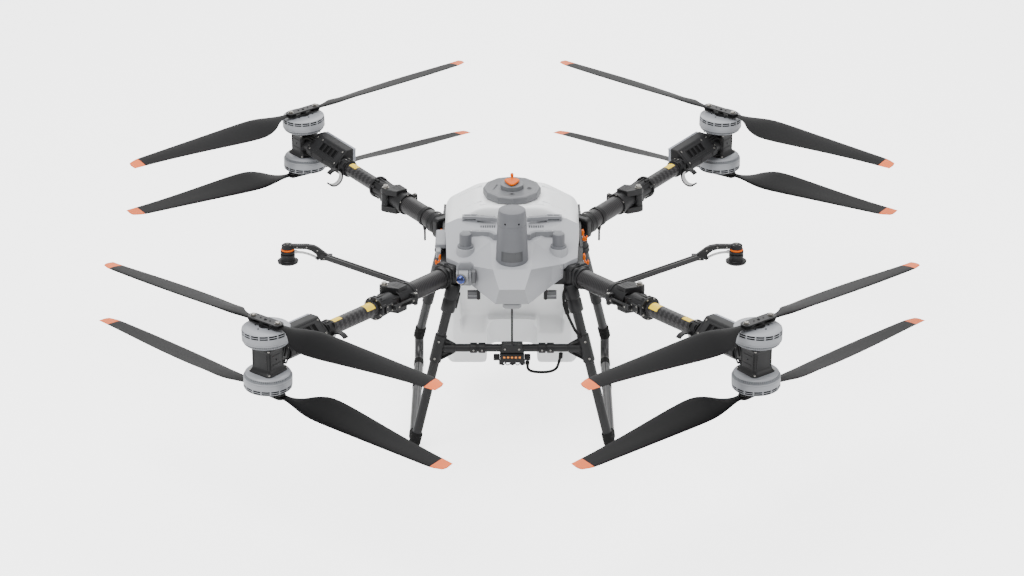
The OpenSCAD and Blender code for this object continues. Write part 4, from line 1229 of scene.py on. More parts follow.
def make_camera_head():
    x, y, z = CAMERA
    s = Build("camera_shroud", "root")
    frame_outline = [(-22, -26), (-10, -40), (22, -40), (36, -24), (36, 24), (22, 40), (-10, 40), (-22, 26)]
    s.prism(frame_outline, -30, -21.5, M["bracket"], move(x, y, z) @ rot(90, "X"), chamfer=3)
    s.prism([(24, -20), (37, -20), (37, 20), (24, 20)], -21.5, 6, M["bracket_d"],
        move(x, y, z) @ rot(90, "X"), chamfer=2)
    s.prism([(-5, 12), (-5, -12), (52, -12), (52, 12)], x - 22.8, x - 16, M["bracket"], move(0, y, z) @ YZX,
        chamfer=0.8)
    s.prism([(-5, 12), (-5, -12), (52, -12), (52, 12)], x + 16, x + 22.8, M["bracket"], move(0, y, z) @ YZX,
        chamfer=0.8)
    s.done(bevel=0.6, angle=34, slot="bracket_grey")
    b = Build("camera_body", "camera", move(x, y, z))
    b.lathe([(0, -15), (18.6, -15), (20.6, -13), (20.6, 13), (18.6, 15), (0, 15)], M["bracket"],
        rot(90, "Y"), 64, closed=False)
    b.rod((-22.8, 0, 0), (22.8, 0, 0), 4.9, M["dark_steel"], seg=24)
    look = move(-4, -11, 0) @ rot(-25, "Z") @ rot(90, "X")
    b.lathe([(0, 0), (14.6, 0), (17.2, 4), (17.4, 9), (16.6, 11), (14.8, 11)], M["bracket_d"], look, 48,
        closed=False)
    dome = [(14.8 * math.cos(math.radians(q)), 10.8 + 11.5 * math.sin(math.radians(q)))
        for q in range(0, 91, 6)]
    b.lathe(dome, M["lens"], look, 48, closed=False)
    b.done(angle=34, replaces="camera_head", slot="bracket_grey", outward=True)


# ---------------------------------------------------------------- tank, lid, vent, battery
def tank_half():
    return [(0, 228), (60, 228), (80, 210), (80, 181.5), (209.5, 181.5), (209.5, 649), (196, 671),
        (100, 721.5), (0, 721.5)]


def cutter(draw):
    """Solid that only serves to cut another one."""
    b = Build("cutter", "tank")
    draw(b)
    bmesh.ops.recalc_face_normals(b.bm, faces=b.bm.faces)
    bmesh.ops.scale(b.bm, vec=(MM, MM, MM), verts=b.bm.verts)
    mesh = bpy.data.meshes.new("cutter")
    b.bm.to_mesh(mesh)
    b.bm.free()
    o = bpy.data.objects.new("cutter", mesh)
    bpy.context.scene.collection.objects.link(o)
    return o


def mould(o, cutters, voxel=4.0, turns=5):
    """Takes the cutters out of a body and rounds every edge as blow moulding does."""
    for c in cutters:
        m = o.modifiers.new("cut", "BOOLEAN")
        m.operation = "DIFFERENCE"
        m.solver = "EXACT"
        m.object = c
    r = o.modifiers.new("remesh", "REMESH")
    r.mode = "VOXEL"
    r.voxel_size = voxel * MM
    r.use_smooth_shade = True
    s = o.modifiers.new("relax", "SMOOTH")
    s.factor = 0.5
    s.iterations = turns
    mesh = bpy.data.meshes.new_from_object(o.evaluated_get(bpy.context.evaluated_depsgraph_get()))
    mats = list(o.data.materials)
    o.modifiers.clear()
    o.data = mesh
    mesh.materials.clear()
    for mat in mats:
        mesh.materials.append(mat)
    for f in mesh.polygons:
        f.use_smooth = True
        f.material_index = 0
    for c in cutters:
        bpy.data.objects.remove(c)


FRONT = -4.6  # the tank's front face


def wedge(profile, x0, x1, lean=0.0):
    """Prism along X with its profile in YZ; lean widens it towards the top."""
    z_low = min(z for _, z in profile)

    def draw(b):
        rings = []
        for x, s in ((x0, -1), (x1, 1)):
            rings.append([(x + s * lean * (z - z_low), y, z) for y, z in profile])
        b.skin(rings, M["tank"])
    return draw


def tank_cutters():
    out = [(-81, 150), (-77, 302), (-70, 320), (-56, 331), (-40, 333)]
    out += [(-x, z) for x, z in reversed(out)]
    band = [(FRONT - 8, 500), (FRONT, 480), (25, 356), (25, 337), (FRONT - 8, 337)]
    panel = [(FRONT - 8, 338), (25, 338), (FRONT, 286), (FRONT - 8, 278)]
    cut = [cutter(lambda b: b.prism(out, -50, 20, M["tank"], rot(90, "X")))]
    cut.append(cutter(wedge(band, -158, 158, 0.10)))
    for s in (-1, 1):
        lo, hi = sorted((s * 84, s * 158))
        cut.append(cutter(wedge(panel, lo, hi, 0.12)))
    for s in (-1, 1):
        # chamfered upright edges, front and back
        for y, d in ((FRONT, 1), (204.6, -1)):
            edge = [(s * 212, y + d * 26), (s * 184, y - d * 3), (s * 214, y - d * 3)]
            cut.append(cutter(lambda b: b.prism(edge, 150, 640, M["tank"])))
    return cut


def make_tank():
    b = Build("tank_body", "tank")
    y0, y1 = -4.6, 204.6
    right_half = tank_half()
    out = [(x, z) for x, z in right_half] + [(-x, z) for x, z in reversed(right_half[1:-1])]
    rings = []
    stops = [(y0, 8), (y0 + 1.2, 4.5), (y0 + 4, 1.5), (y0 + 9, 0), (y1 - 9, 0), (y1 - 4, 1.5),
        (y1 - 1.2, 4.5), (y1, 8)]
    fine = round_corners(out, 24)
    for y, inset in stops:
        ring = []
        for p in inset_outline(fine, inset):
            ring.append((p[0], y, p[1]))
        rings.append(ring)
    b.skin(rings, M["tank"])
    o = b.done(angle=50, replaces="spray_tank", slot="tank_white", outward=True, cutters=tank_cutters)
    d = Build("tank_ridges", "tank")
    for s in (-1, 1):
        t = flip(x=s)
        # pressed ribs on the shoulders and the front face
        d.sweep([(96, 40, 722), (130, 42, 705), (168, 42, 685.5)], 2.6, M["tank"], t, seg=10)
        d.sweep([(96, 165, 722), (130, 165, 705), (168, 165, 685.5)], 2.6, M["tank"], t, seg=10)
        d.sweep([(60, 14, 721.5), (90, 14, 721), (100, 16, 719.6)], 2.4, M["tank"], t, seg=10)
    d.lathe([(66.5, 720), (71.8, 720), (71.8, 735.6), (70.6, 736), (67.5, 736), (66.5, 735)], M["tank"],
        move(0, LID_Y, 0), 72)
    for k in range(3):
        z = 723.5 + k * 4
        d.lathe([(71.6, z), (72.0, z + 0.8), (71.6, z + 1.6)], M["tank"], move(0, LID_Y, 0), 72)
    d.done(angle=50, slot="tank_white")
    return o


def round_corners(pts, r, n=5):
    """Outline with each corner replaced by a short curve."""
    out = []
    k = len(pts)
    for i in range(k):
        a, b, c = Vector(pts[i - 1]), Vector(pts[i]), Vector(pts[(i + 1) % k])
        d0, d1 = (a - b), (c - b)
        rr = min(r, d0.length * 0.45, d1.length * 0.45)
        if d0.normalized().dot(d1.normalized()) < -0.999:
            out.append(tuple(b))
            continue
        p, q = b + d0.normalized() * rr, b + d1.normalized() * rr
        for j in range(n + 1):
            t = j / n
            out.append(tuple((1 - t) ** 2 * p + 2 * t * (1 - t) * b + t * t * q))
    return out


def inset_outline(pts, d):
    if d == 0:
        return pts
    k = len(pts)
    area = sum(pts[i][0] * pts[(i + 1) % k][1] - pts[(i + 1) % k][0] * pts[i][1] for i in range(k))
    s = 1 if area > 0 else -1
    out = []
    for i in range(k):
        a, c = Vector(pts[i - 1]), Vector(pts[(i + 1) % k])
        t = (c - a).normalized()
        out.append((pts[i][0] - t.y * d * s, pts[i][1] + t.x * d * s))
    return out


def make_lid():
    t = move(0, LID_Y, 0)
    b = Build("lid_cap", "lid", t)
    b.lathe([(72.4, 723.4), (88.8, 723.4), (90.8, 725.0), (90.8, 743.4), (88.0, 746.6), (79.0, 746.9),
        (75.2, 745.6), (36.2, 745.4)], M["lid"], seg=12, closed=False)
    b.lathe([(72.4, 723.4), (72.4, 737.6), (0, 737.6)], M["lid"], seg=72, closed=False)
    b.done(bevel=1.2, angle=20, replaces="tank_lid", slot="lid_grey")
    d = Build("lid_boss", "lid", t @ move(0, -2, 0))
    boss = [(35.5, 6), (35.5, -10), (28, -22), (14, -32), (-14, -32), (-28, -22), (-35.5, -10),
        (-35.5, 6)] + arc(0, 6, 35.5, 180, 0, 18)[1:-1]
    d.prism(boss, 744.8, 759.6, M["lid"], chamfer=1.4)
    for x, y in ((54, -6), (0, -54)):
        d.lathe([(7.5, 746.9), (7.0, 747.6), (5.0, 747.6), (4.6, 746.6), (0, 746.5)], M["bracket_d"],
            move(x, y, 0), 28, closed=False)
        d.bolt((x, y, 746.4), (0, 0, 1), 2.8, 1.4, M["dark_steel"])
    for k in range(3):
        d.sweep([(-60 + k * 4, -14 + k * 13, 746.2), (-54 + k * 4, -8 + k * 13, 746.5),
            (-56 + k * 4, 0 + k * 13, 746.2)], 1.0, M["bracket_d"], seg=6)
    d.rod((0, 36, 746), (0, 36, 779.5), 3.6, M["orange"], seg=20, chamfer=1.0)
    d.lathe([(3.5, 768), (5.2, 770), (5.2, 777), (3.5, 779.5)], M["orange"], move(0, 36, 0), 20)
    d.done(bevel=0.6, angle=30, slot="lid_grey")
    v = Build("vent_drop", "vent", t @ move(0, -2, 0))
    drop = arc(0, 4, 25.4, 20, 160, 16) + [(-20.4, 0), (-9.8, -20.6)] + arc(0, -20, 7.2, 215, 325,
        6) + [(9.8, -20.6), (20.4, 0)]
    v.prism(drop, 761.4, 768.4, M["orange"], chamfer=1.8)
    v.lathe([(0, 742.8), (4.9, 742.8), (4.9, 761.6), (0, 761.6)], M["orange"], seg=24, closed=False)
    v.done(bevel=0.5, angle=30, replaces="vent_cap", slot="orange")


def make_battery():
    b = Build("battery_case", "battery")
    x, y0, y1, z0, z1 = 169, 233, 383.5, 373, 603
    b.prism(rounded(x, (y1 - y0) / 2, 14), z0, z1, M["nylon"], move(0, (y0 + y1) / 2, 0), chamfer=4)
    for k in range(9):
        z = 400 + k * 20
        b.box((-150, y1 - 0.6, z), (150, y1 + 0.35, z + 6), M["plate"])
    for s in (-1, 1):
        t = flip(x=s)
        b.sweep([(74, 308, 600), (74, 308, 614), (70, 308, 624), (58, 308, 626), (0, 308, 626)], 6.2,
            M["rubber"], t, seg=14)
        b.box((110, 250, 602), (140, 270, 603.8), M["bracket_d"], t)
        b.box((x - 1, 260, 420), (x + 0.6, 360, 560), M["plate"], t)
    for k in range(4):
        b.box((-42 + k * 22, 262, 602.6), (-30 + k * 22, 266, 603.9), M["white"])
    b.done(bevel=0.8, angle=30, replaces="battery_pack", slot="black_plastic")


# ---------------------------------------------------------------- chassis
def make_chassis():
    c = M["cast"]
    b = Build("deck_frame", "root")
    for s in (-1, 1):
        t = flip(x=s)
        rail = [(-190, 540), (330, 540), (330, 590), (-190, 590)]
        b.prism(rail, 211.7, 219.4, c, t @ YZX, chamfer=0.8)
        for k in range(9):
            y = -140 + k * 50
            b.box((219.0, y, 548), (221.2, y + 34, 551), c, t)
            b.box((219.0, y, 579), (221.2, y + 34, 582), c, t)
            b.bolt((219.4, y + 42, 565), (1, 0, 0), 2.8, 2.2, None, t)
    b.box((-219.4, -190, 540), (219.4, -182, 590), c)
    b.box((-219, -190, 585), (219, -13.5, 589.8), c)
    b.box((-219.4, -21, 540), (219.4, -13.3, 590), c)
    b.box((-219.4, 213.2, 540), (219.4, 221, 590), c)
    for k in range(7):
        b.box((-150 + k * 45, 220.6, 546), (-138 + k * 45, 222.4, 584), c)
    b.done(bevel=0.8, angle=34, replaces="chassis", slot="casting")
    for a in ARMS:
        e = end_of(a)
        s0 = ROOT_AT[e]
        r = Build("root_block_" + a, "root", along_arm(a))
        if e > 0:
            r.rod((s0, 0, 0), (s0 + 40, 0, 0), 34.2, c, seg=56, inner=30.1, chamfer=2.5)
            r.prism(rounded(33.5, 33.5, 12), s0 + 40.2, s0 + 62, c, YZX, chamfer=3)
            for x in (s0 + 6, s0 + 26):
                r.rod((x, 0, 0), (x + 7, 0, 0), 35.6, c, seg=56, inner=30.1, chamfer=1.4)
                for z in (-1, 1):
                    r.bolt((x + 3.5, 0, z * 35.0), (0, 0, z), 3.0, 2.2)
        else:
            r.prism(rounded(34.5, 34.5, 17), s0, s0 + 12, c, YZX, chamfer=3)
            r.prism(rounded(37.5, 38.5, 16), s0 + 12, s0 + 40, c, YZX, chamfer=4)
            r.rod((s0 - 10, 0, 0), (s0 + 2, 0, 0), 34.2, c, seg=56, inner=30.1, chamfer=1.4)
        out = 1 if e < 0 else -1
        for z in (-22, 22) if e < 0 else ():
            r.bolt((s0 + 12, -28 * out, z), (-1, 0, 0), 3.4, 2.6)
            r.bolt((s0 + 12, 28 * out, z), (-1, 0, 0), 3.4, 2.6)
        if e < 0:
            r.lathe([(9, 38.2), (9.6, 39.6), (7, 39.6), (6.4, 34)], M["dark_steel"], move(s0 + 20, 0, 0),
                32, closed=False)
            # painted shade: a near-black disc stands in for the shade down the bore of this ring
            r.lathe([(0, 36), (6.6, 36)], M["void"], move(s0 + 20, 0, 2.6), 32, closed=False)
        r.done(bevel=1.0, angle=34, slot="casting")
    t = Build("battery_cradle", "root")
    w = 178
    for s in (-1, 1):
        m = flip(x=s)
        t.prism([(224.5, 364), (390, 364), (390, 560), (360, 560), (340, 470), (260, 470), (244, 560),
            (224.5, 560)], 170.8, w - 0.3, M["nylon"], m @ YZX, chamfer=0.8)
        t.box((w - 6, 225, 541), (219, 329, 559), M["nylon"], m)
    t.box((-w, 224.5, 364.3), (w, 389.6, 371.8), M["nylon"])
    t.box((-w, 224.5, 364), (w, 231, 402), M["nylon"])
    t.box((-w, 385, 364), (w, 389.8, 402), M["nylon"])
    for k in range(11):
        t.box((-150 + k * 29, 389, 372), (-141 + k * 29, 390.2, 396), M["nylon"])
    t.done(bevel=0.8, angle=34, slot="casting")
    f = Build("control_box", "root")
    f.prism(rounded(89, 54, 7), 591, 623.5, M["nylon"], move(0, -95, 0), chamfer=2)
    for s in (-1, 1):
        for k in range(6):
            f.box(*sorted_box((s * (28 + k * 9), -142, 623), (s * (33 + k * 9), -62, 629.6)), M["fin"])
    f.done(bevel=0.5, angle=34, replaces="flight_controller", slot="black_plastic")
    p = Build("pump_case", "root")
    p.box((-109, 241, 341), (109, 331, 363.5), M["nylon"], chamfer=2)
    for s in (-1, 1):
        m = move(s * 62, 286, 0)
        p.lathe([(0, 262.5), (30, 262.5), (36, 266), (37.6, 272), (37.6, 334), (34, 340.5), (0, 340.5)],
            M["nylon"], m, 48, closed=False)
        for z in (280, 300, 320):
            p.lathe([(37.4, z), (37.9, z + 1), (37.9, z + 5), (37.4, z + 6)], M["dark_steel"], m, 48)
        p.rod((s * 62, 286, 276), (s * 123.5, 286, 276), 8.6, M["dark_steel"], seg=24, chamfer=1)
    p.box((-25.5, 262.5, 290.5), (25.5, 309.5, 340), M["nylon"], chamfer=2)
    p.done(bevel=0.6, angle=34, replaces="pump_unit", slot="black_plastic")
    k = Build("aerial_clamps", "root")
    for a in ("rl", "rr"):
        m = along_arm(a)
        k.rod((702, 0, 0), (718, 0, 0), 32.8, M["nylon"], m, seg=48, inner=30.0, chamfer=0.8)
        k.rod((700, 0, -31), (700, 0, -44), 6.4, M["nylon"], m, seg=20)
        base = m @ Vector((700, 0, -40))
        k.rod(base, base - Vector((0, 0, 48)), 3.4, M["rubber"], seg=18, chamfer=1.4)
        k.rod(base + Vector((0, 0, 4)), base - Vector((0, 0, 10)), 5.6, M["nylon"], seg=18, chamfer=1.0)
    k.done(bevel=0.3, angle=34, slot="casting")


# ---------------------------------------------------------------- landing gear
def leg_at(z):
    return LEG_TOP.lerp(LEG_FOOT, (LEG_TOP.z - z) / (LEG_TOP.z - LEG_FOOT.z))


def make_gear():
    c = M["cast"]
    b = Build("front_leg_tubes", "root")
    for s in (-1, 1):
        m = flip(x=s) @ flip(x=-1)
        b.rod(LEG_TOP, LEG_FOOT, 14.9, M["sleeve"], m, seg=48, inner=13)
    b.done(angle=34, replaces="front_legs", slot="carbon")
    g = Build("leg_sleeves", "root")
    for s in (-1, 1):
        m = flip(x=s) @ flip(x=-1)
        d = (LEG_FOOT - LEG_TOP).normalized()
        up = d.to_track_quat("Z", "Y").to_matrix().to_4x4()
        g.lathe([(15.1, -18), (19, -18), (22.5, -12), (22.5, 28), (20.4, 31), (20.4, 33), (22.4, 36),
            (22.4, 72), (20.8, 75), (15.1, 75)], M["sleeve"],
                m @ Matrix.Translation(LEG_TOP) @ up, 48)
        g.box((-9, -25.5, 8), (9, -20, 60), M["sleeve"], m @ Matrix.Translation(LEG_TOP) @ up)
    g.done(bevel=0.8, angle=34, slot="casting")
    h = Build("cross_tube", "root")
    cl = leg_at(CROSS_Z)
    h.rod((cl.x + 14, cl.y, CROSS_Z), (-cl.x - 14, cl.y, CROSS_Z), 12.4, M["sleeve"], seg=40)
    for s in (-1, 1):
        m = flip(x=s) @ flip(x=-1)
        p, q = leg_at(CROSS_Z + 44), leg_at(CROSS_Z - 44)
        h.rod(p, q, 18.9, c, m, seg=48, inner=15.1, chamfer=1.6)
        up = Matrix.Translation((0, cl.y, 0)) @ rot(90, "X")
        web = [(cl.x + 8, CROSS_Z + 40), (cl.x + 26, CROSS_Z + 32), (cl.x + 50, CROSS_Z + 15),
            (cl.x + 52, CROSS_Z), (cl.x + 50, CROSS_Z - 15), (cl.x + 22, CROSS_Z - 30),
            (cl.x, CROSS_Z - 38)]
        h.prism(web, -3, 3, c, m @ up, chamfer=0.8)
        for sgn in (-1, 1):
            h.prism([(cl.x + 10, CROSS_Z + sgn * 38), (cl.x + 50, CROSS_Z + sgn * 14.5),
                (cl.x + 48, CROSS_Z + sgn * 11.5), (cl.x + 8, CROSS_Z + sgn * 33)], -9, 9, c, m @ up,
                chamfer=0.6)
        h.rod((cl.x + 16, cl.y, CROSS_Z), (cl.x + 54, cl.y, CROSS_Z), 15.6, c, m, seg=40, inner=12.5,
            chamfer=1.2)
        for z in (28, -28):
            p = leg_at(CROSS_Z + z)
            h.bolt((p.x - 4, p.y - 18.5, p.z), (0, -1, 0), 3.2, 2.4, None, m)
        for x in (-82, -108):
            h.rod((x, cl.y, CROSS_Z), (x - 22, cl.y, CROSS_Z), 16.4, c, m, seg=40, inner=12.5, chamfer=1.6)
            h.box((x - 19, cl.y - 19.2, CROSS_Z - 5), (x - 3, cl.y - 14, CROSS_Z + 5), c, m, chamfer=1)
            h.bolt((x - 11, cl.y - 19.2, CROSS_Z), (0, -1, 0), 2.6, 1.8, None, m)
    h.prism(rounded(33.5, 15.6, 6), CROSS_Z - 12.6, CROSS_Z + 15.8, c, move(0, cl.y, 0), chamfer=1.6)
    for x in (-22, 22):
        h.bolt((x, cl.y - 15.5, CROSS_Z + 2), (0, -1, 0), 3.0, 2.2)
    h.done(bevel=0.5, angle=34, replaces="crossbar", slot="casting")
    r = Build("rear_leg_tubes", "root")
    for s in (-1, 1):
        m = flip(x=s) @ flip(x=-1)
        z = 16.5
        pts = [(-308, -175, z), (-308, 0, z), (-308, 200, z), (-308, 340, z), (-308, 356, z)]
        bend = [(-308, 356 + 60 * math.sin(math.radians(q)), z + 60 - 60 * math.cos(math.radians(q)))
            for q in range(9, 82, 9)]
        pts = pts + bend + [tuple(KNEE + (REAR_TOP - KNEE).normalized() * 10),
            tuple(KNEE.lerp(REAR_TOP, 0.2)), tuple(REAR_TOP)]
        r.sweep(pts, 14.9, M["leg"], m, seg=32, smooth=3)
    r.done(angle=40, replaces="rear_legs", slot="leg_grey")
    k = Build("rear_leg_joints", "root")
    for s in (-1, 1):
        m = flip(x=s) @ flip(x=-1)
        along = KNEE.lerp
        k.rod(along(REAR_TOP, -0.02), along(REAR_TOP, 0.09), 17.8, M["rubber"], m, seg=40, inner=15.0,
            chamfer=2)
        for q in (0.005, 0.035, 0.065):
            k.rod(along(REAR_TOP, q), along(REAR_TOP, q + 0.008), 18.6, M["rubber"], m, seg=40, inner=15.0,
                chamfer=0.8)
        k.rod(along(REAR_TOP, 0.90), along(REAR_TOP, 1.02), 19.6, c, m, seg=40, inner=15.0, chamfer=1.5)
        k.rod(along(REAR_TOP, 0.94), along(REAR_TOP, 0.96), 21.4, c, m, seg=40, inner=15.0, chamfer=1.0)
        k.box((-225, 300, 432), (-176, 340, 466), c, m, chamfer=2)
        for sg in (-1, 1):
            p = LANCE + Vector((0, 0, sg * 17.5))
            k.rod(p - Vector((0, 0, 5.8)), p + Vector((0, 0, 5.8)), 13.8, c, m, seg=36, chamfer=1.0)
            k.rod(p, Vector((-275, 379, LANCE.z + sg * 17.5)), 5.8, c, m, seg=24)
        k.rod(along(REAR_TOP, 0.36), along(REAR_TOP, 0.49), 18.2, c, m, seg=40, inner=15.0, chamfer=1.5)
        k.rod(LANCE - Vector((0, 0, 27)), LANCE + Vector((0, 0, 27)), 5.9, M["steel"], m, seg=24)
        k.bolt(LANCE + Vector((0, 0, 23)), (0, 0, 1), 7.0, 4.0, None, m)
    k.done(bevel=0.4, angle=34, slot="casting")
    f = Build("foot_pads", "root")
    for s in (-1, 1):
        m = flip(x=s) @ flip(x=-1)
        d = (LEG_FOOT - LEG_TOP).normalized()
        p = LEG_FOOT - d * 40
        up = d.to_track_quat("Z", "Y").to_matrix().to_4x4()
        f.lathe([(15.0, 0), (17.2, 0), (18.4, 3), (18.4, 18), (17.6, 20), (18.4, 22), (18.4, 36),
            (16.0, 44.5), (10, 47.5), (0, 48.3)], M["rubber"],
                m @ Matrix.Translation(p) @ up, 48, closed=False)
        for y in (-194, 150, 320):
            f.rod((-308, y, 16.5), (-308, y + 34, 16.5), 16.4, M["rubber"], m, seg=40,
                inner=0 if y < -150 else 15.0, chamfer=2.0)
            f.box((-316, y + 2, 0.2), (-300, y + 32, 4.0), M["rubber"], m)
    f.done(bevel=0.8, angle=34, replaces="foot_caps", slot="rubber_black")


def make_light_module():
    y = leg_at(CROSS_Z).y
    n = M["nylon"]
    b = Build("light_bar", "root")
    b.prism(rounded(37.6, 17, 4), CROSS_Z - 41.6, CROSS_Z - 13.4, n, move(0, y - 5, 0), chamfer=1.2)
    b.box((-33, y - 22.6, CROSS_Z - 38.5), (33, y - 21.4, CROSS_Z - 17.5), M["plate"])
    for k in range(5):
        x = -26.5 + k * 12
        b.box((x - 0.6, y - 23.0, CROSS_Z - 25.5), (x + 5.6, y - 22.2, CROSS_Z - 20), M["amber"])
    for s in (-1, 1):
        t = flip(x=s)
        b.rod((40, y + 2, CROSS_Z - 30), (40, y + 2, CROSS_Z - 30.1), 1, n, t, seg=8)
        b.rod((38, y, CROSS_Z - 32), (57.5, y, CROSS_Z - 32), 10.2, n, t, seg=32, chamfer=1.4)
        for k in range(3):
            b.rod((42 + k * 4.5, y, CROSS_Z - 32), (44 + k * 4.5, y, CROSS_Z - 32), 11.2, n, t, seg=32,
                chamfer=0.5)
    for x in (-33, 1, 33):
        b.box((x - 7.5, y - 8, CROSS_Z - 55.6), (x + 7.5, y + 8, CROSS_Z - 41.8), n, chamfer=1.5)
    for i in range(5):
        x = -34 + i * 15
        b.sweep([(x, y - 6, CROSS_Z - 50), (x + 3, y - 9, CROSS_Z - 54), (x + 9, y - 6, CROSS_Z - 55),
            (x + 15, y - 2, CROSS_Z - 50)], 1.6, M["rubber"], seg=8)
    b.done(bevel=0.4, angle=34, replaces="light_module", slot="black_plastic")
    w = Build("gear_cables", "root")
    w.sweep([(48, -212, 289), (48, -212, 276), (50, -212, 263), (60, -212, 255), (80, -213, 252),
        (104, -213, 252), (124, -213, 256),
             (138, -213, 266), (145, -213, 284), (149, -213, 303), (151, -213, 316)], 4.4, M["rubber"],
             seg=14)
    w.sweep([(166, -208, 540), (158, -224, 526), (158, -234, 506), (164, -239, 482), (173, -241, 456),
        (184, -241, 430),
             (195, -239, 406), (206, -232, 388), (214, -222, 376)], 4.4, M["rubber"], seg=14)
    w.rod((160, -236, 500), (171, -239, 462), 7.0, M["rubber"], seg=20, chamfer=2)
    w.rod((150.5, -213, 300), (151.5, -213, 318), 6.6, M["rubber"], seg=20, chamfer=1)
    w.rod((48, -212, 289), (48, -212, 278), 6.6, M["rubber"], seg=20, chamfer=1)
    w.done(angle=40, replaces="cables", slot="rubber_black")


# ---------------------------------------------------------------- spray lances
def lance_frame(side):
    m = Matrix.Translation(LANCE) @ rot(LANCE_AZ, "Z")
    return flip(x=-1) @ m if side == "r" else m


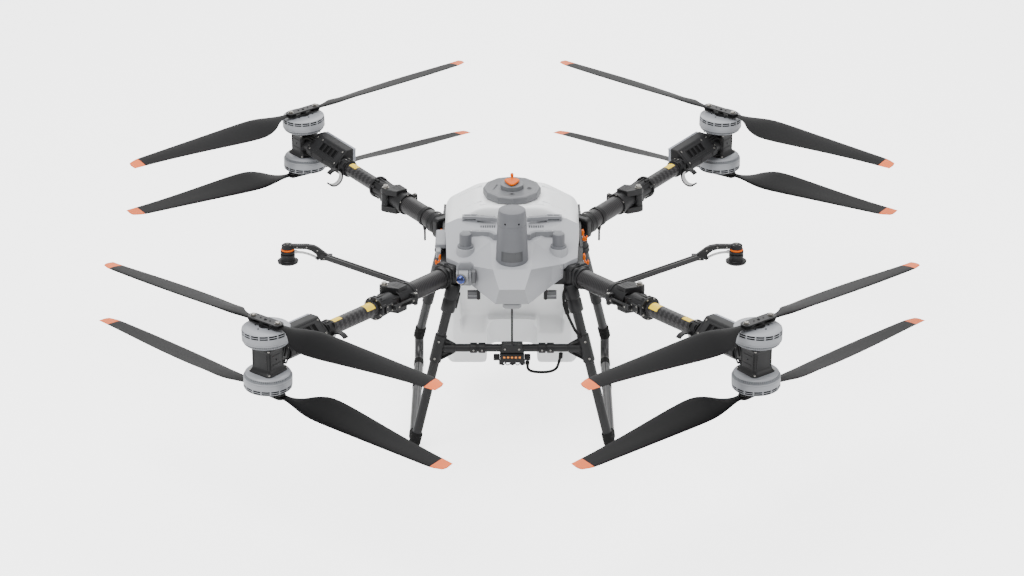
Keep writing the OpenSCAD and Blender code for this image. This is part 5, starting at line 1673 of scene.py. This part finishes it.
def make_lance(side):
    body = "lance_" + side
    m = lance_frame(side)
    c = M["cast"]
    b = Build("lance_rod_" + side, body, m)
    for y in (-5.2, 5.2):
        b.box((10, y - 3.2, -8.4), (LANCE_LEN + 2, y + 3.2, 8.4), M["fine"])
    b.box((12, -4, -5.5), (LANCE_LEN, 4, 5.5), M["fine"])
    b.lathe([(6.2, -10.8), (13, -10.8), (13.8, -10), (13.8, 10), (13, 10.8), (6.2, 10.8)], c, seg=40)
    b.box((8, -9, -9), (46, 9, 9), c, chamfer=1.2)
    b.bolt((30, 0, 9), (0, 0, 1), 3, 2)
    b.bolt((42, 0, 9), (0, 0, 1), 3, 2)
    b.done(bevel=0.6, angle=34, replaces="spray_lance_" + side, slot="carbon")
    hm = m @ move(LANCE_LEN, 0, 0) @ rot(HEAD_TURN, "Z")
    h = Build("lance_head_" + side, body, hm)
    XZ = rot(90, "X")
    arch = [(-24, -10.5), (-8, 10), (20, 33), (34, 41), (58, 45.6), (HEAD_LEN + 8, 45.6),
        (HEAD_LEN + 20, 39), (HEAD_LEN + 20, 32), (62, 30), (44, 24), (30, 12), (22, -2), (14, -10.5)]
    h.prism([(x, z) for x, z in arch], -8.8, 8.8, c, XZ, chamfer=1.6)
    h.prism([(-14, -7), (-4, 6), (16, 20), (28, 24), (20, 4), (10, -7)], -9.4, 9.4, M["plate"], XZ,
        chamfer=0.6)
    h.box((-26, -10.8, -10.8), (16, 10.8, 8.0), c, chamfer=1.6)
    for x, z in ((-18, -4), (2, -4), (24, 26), (60, 38), (92, 38)):
        for s in (-1, 1):
            h.bolt((x, s * 9.2, z), (0, s, 0), 2.4, 1.8)
    t = move(HEAD_LEN, 0, 0)
    h.lathe([(21.5, 14.5), (24.5, 15.5), (24.8, 22), (22, 24.2), (20.6, 24.6)], M["nylon"], t, 48,
        closed=False)
    h.lathe([(20.6, 24.6), (22.6, 25.2), (23.2, 29.4), (20.4, 30.6)], M["orange"], t, 48, closed=False)
    h.lathe([(20.4, 30.6), (20.6, 34), (20.2, 43), (16, 45.6), (0, 46.2)], M["nylon"], t, 48, closed=False)
    h.lathe([(21.5, 14.5), (4.2, 14.5)], M["nylon"], t, 48, closed=False)
    h.bolt((HEAD_LEN, 0, 46), (0, 0, 1), 4.2, 2.0)
    for k in range(4):
        q = math.radians(45 + 90 * k)
        h.bolt((HEAD_LEN + 14 * math.cos(q), 14 * math.sin(q), 44.8), (0, 0, 1), 2.0, 1.6)
    # clear feed hose with its fitting, under the arch
    h.sweep([(HEAD_LEN - 20, 0, 20), (HEAD_LEN - 34, 0, 17), (HEAD_LEN - 52, 0, 15), (HEAD_LEN - 70, 0, 10),
        (HEAD_LEN - 84, 0, 4), (24, 0, -4), (10, 0, -6)], 4.2, M["hose"], seg=14)
    h.rod((HEAD_LEN - 32, 0, 17.5), (HEAD_LEN - 20, 0, 19.6), 6.2, M["hose"], seg=20, chamfer=0.8)
    h.rod((30, 0, -2), (20, 0, -10), 5.6, M["nylon"], seg=20, chamfer=0.8)
    h.done(bevel=0.5, angle=34, slot="casting")
    d = Build("disc_cone_" + side, "disc_" + side, hm @ t)
    d.lathe([(0, 31.5), (3.9, 31.5), (3.9, 11.8), (23.6, 11.8), (24.4, 10.6), (24.0, -10), (26, -12.4),
        (34.4, -13.0), (35.6, -13.8), (35.4, -15.0), (30.4, -21.4),
             (28, -21.9), (0, -21.9)], M["nylon"], seg=64, closed=False)
    for k in range(36):
        d.box((29.8, -0.7, -20.6), (34.4, 0.7, -14.6), M["rubber"], rot(k * 10, "Z"))
    d.lathe([(24.45, 2), (24.9, 2.6), (24.9, 8), (24.45, 8.6)], M["plate"], seg=48)
    d.done(angle=30, replaces="spray_disc_" + side, slot="black_plastic", outward=False)


make_shell()
make_tower()
make_antennas()
make_brackets()
make_camera_head()
make_tank()
make_lid()
make_battery()
make_chassis()
make_gear()
make_light_module()
for side in ("l", "r"):
    make_lance(side)

# the four fork pieces stand in for one node
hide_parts("hinge_forks")


# ---------------------------------------------------------------- floor and light
def make_stage():
    mesh = bpy.data.meshes.new("floor")
    s = 40
    mesh.from_pydata([(-s, -s, 0), (s, -s, 0), (s, s, 0), (-s, s, 0)], [], [(0, 1, 2, 3)])
    floor = bpy.data.objects.new("floor", mesh)
    bpy.context.scene.collection.objects.link(floor)
    k = Mat("floor_white")
    k.set("Base Color", k.mix(k.noise(2.0, 2), (0.93, 0.93, 0.93, 1), (0.95, 0.95, 0.95, 1)))
    k.set("Roughness", 0.9)
    k.set("Specular IOR Level", 0.1)
    k.set("Emission Color", (1, 1, 1, 1))
    k.set("Emission Strength", k.math("MULTIPLY", k.node("ShaderNodeLightPath").outputs["Is Camera Ray"],
        2.4))
    mesh.materials.append(k.m)
    world = bpy.data.worlds.new("studio")
    world.use_nodes = True
    bpy.context.scene.world = world
    nt = world.node_tree
    bg = nt.nodes["Background"]
    bg.inputs[0].default_value = (1, 1, 1, 1)
    bg.inputs[1].default_value = 0.85

    def area(name, loc, size, power, target=(0, 0, 0.5), size_y=None):
        d = bpy.data.lights.new(name, "AREA")
        d.shape = "RECTANGLE"
        d.size = size
        d.size_y = size_y or size
        d.energy = power
        o = bpy.data.objects.new(name, d)
        o.location = loc
        o.rotation_euler = (Vector(target) - Vector(loc)).to_track_quat("-Z", "Y").to_euler()
        bpy.context.scene.collection.objects.link(o)

    area("key", (-2.5, -3.0, 6.0), 4.0, 420)
    area("top", (0.5, 1.0, 6.5), 6.0, 330)
    area("right", (6.0, -2.0, 3.0), 3.0, 110)
    area("back", (0.0, 6.0, 4.0), 5.0, 150)


make_stage()
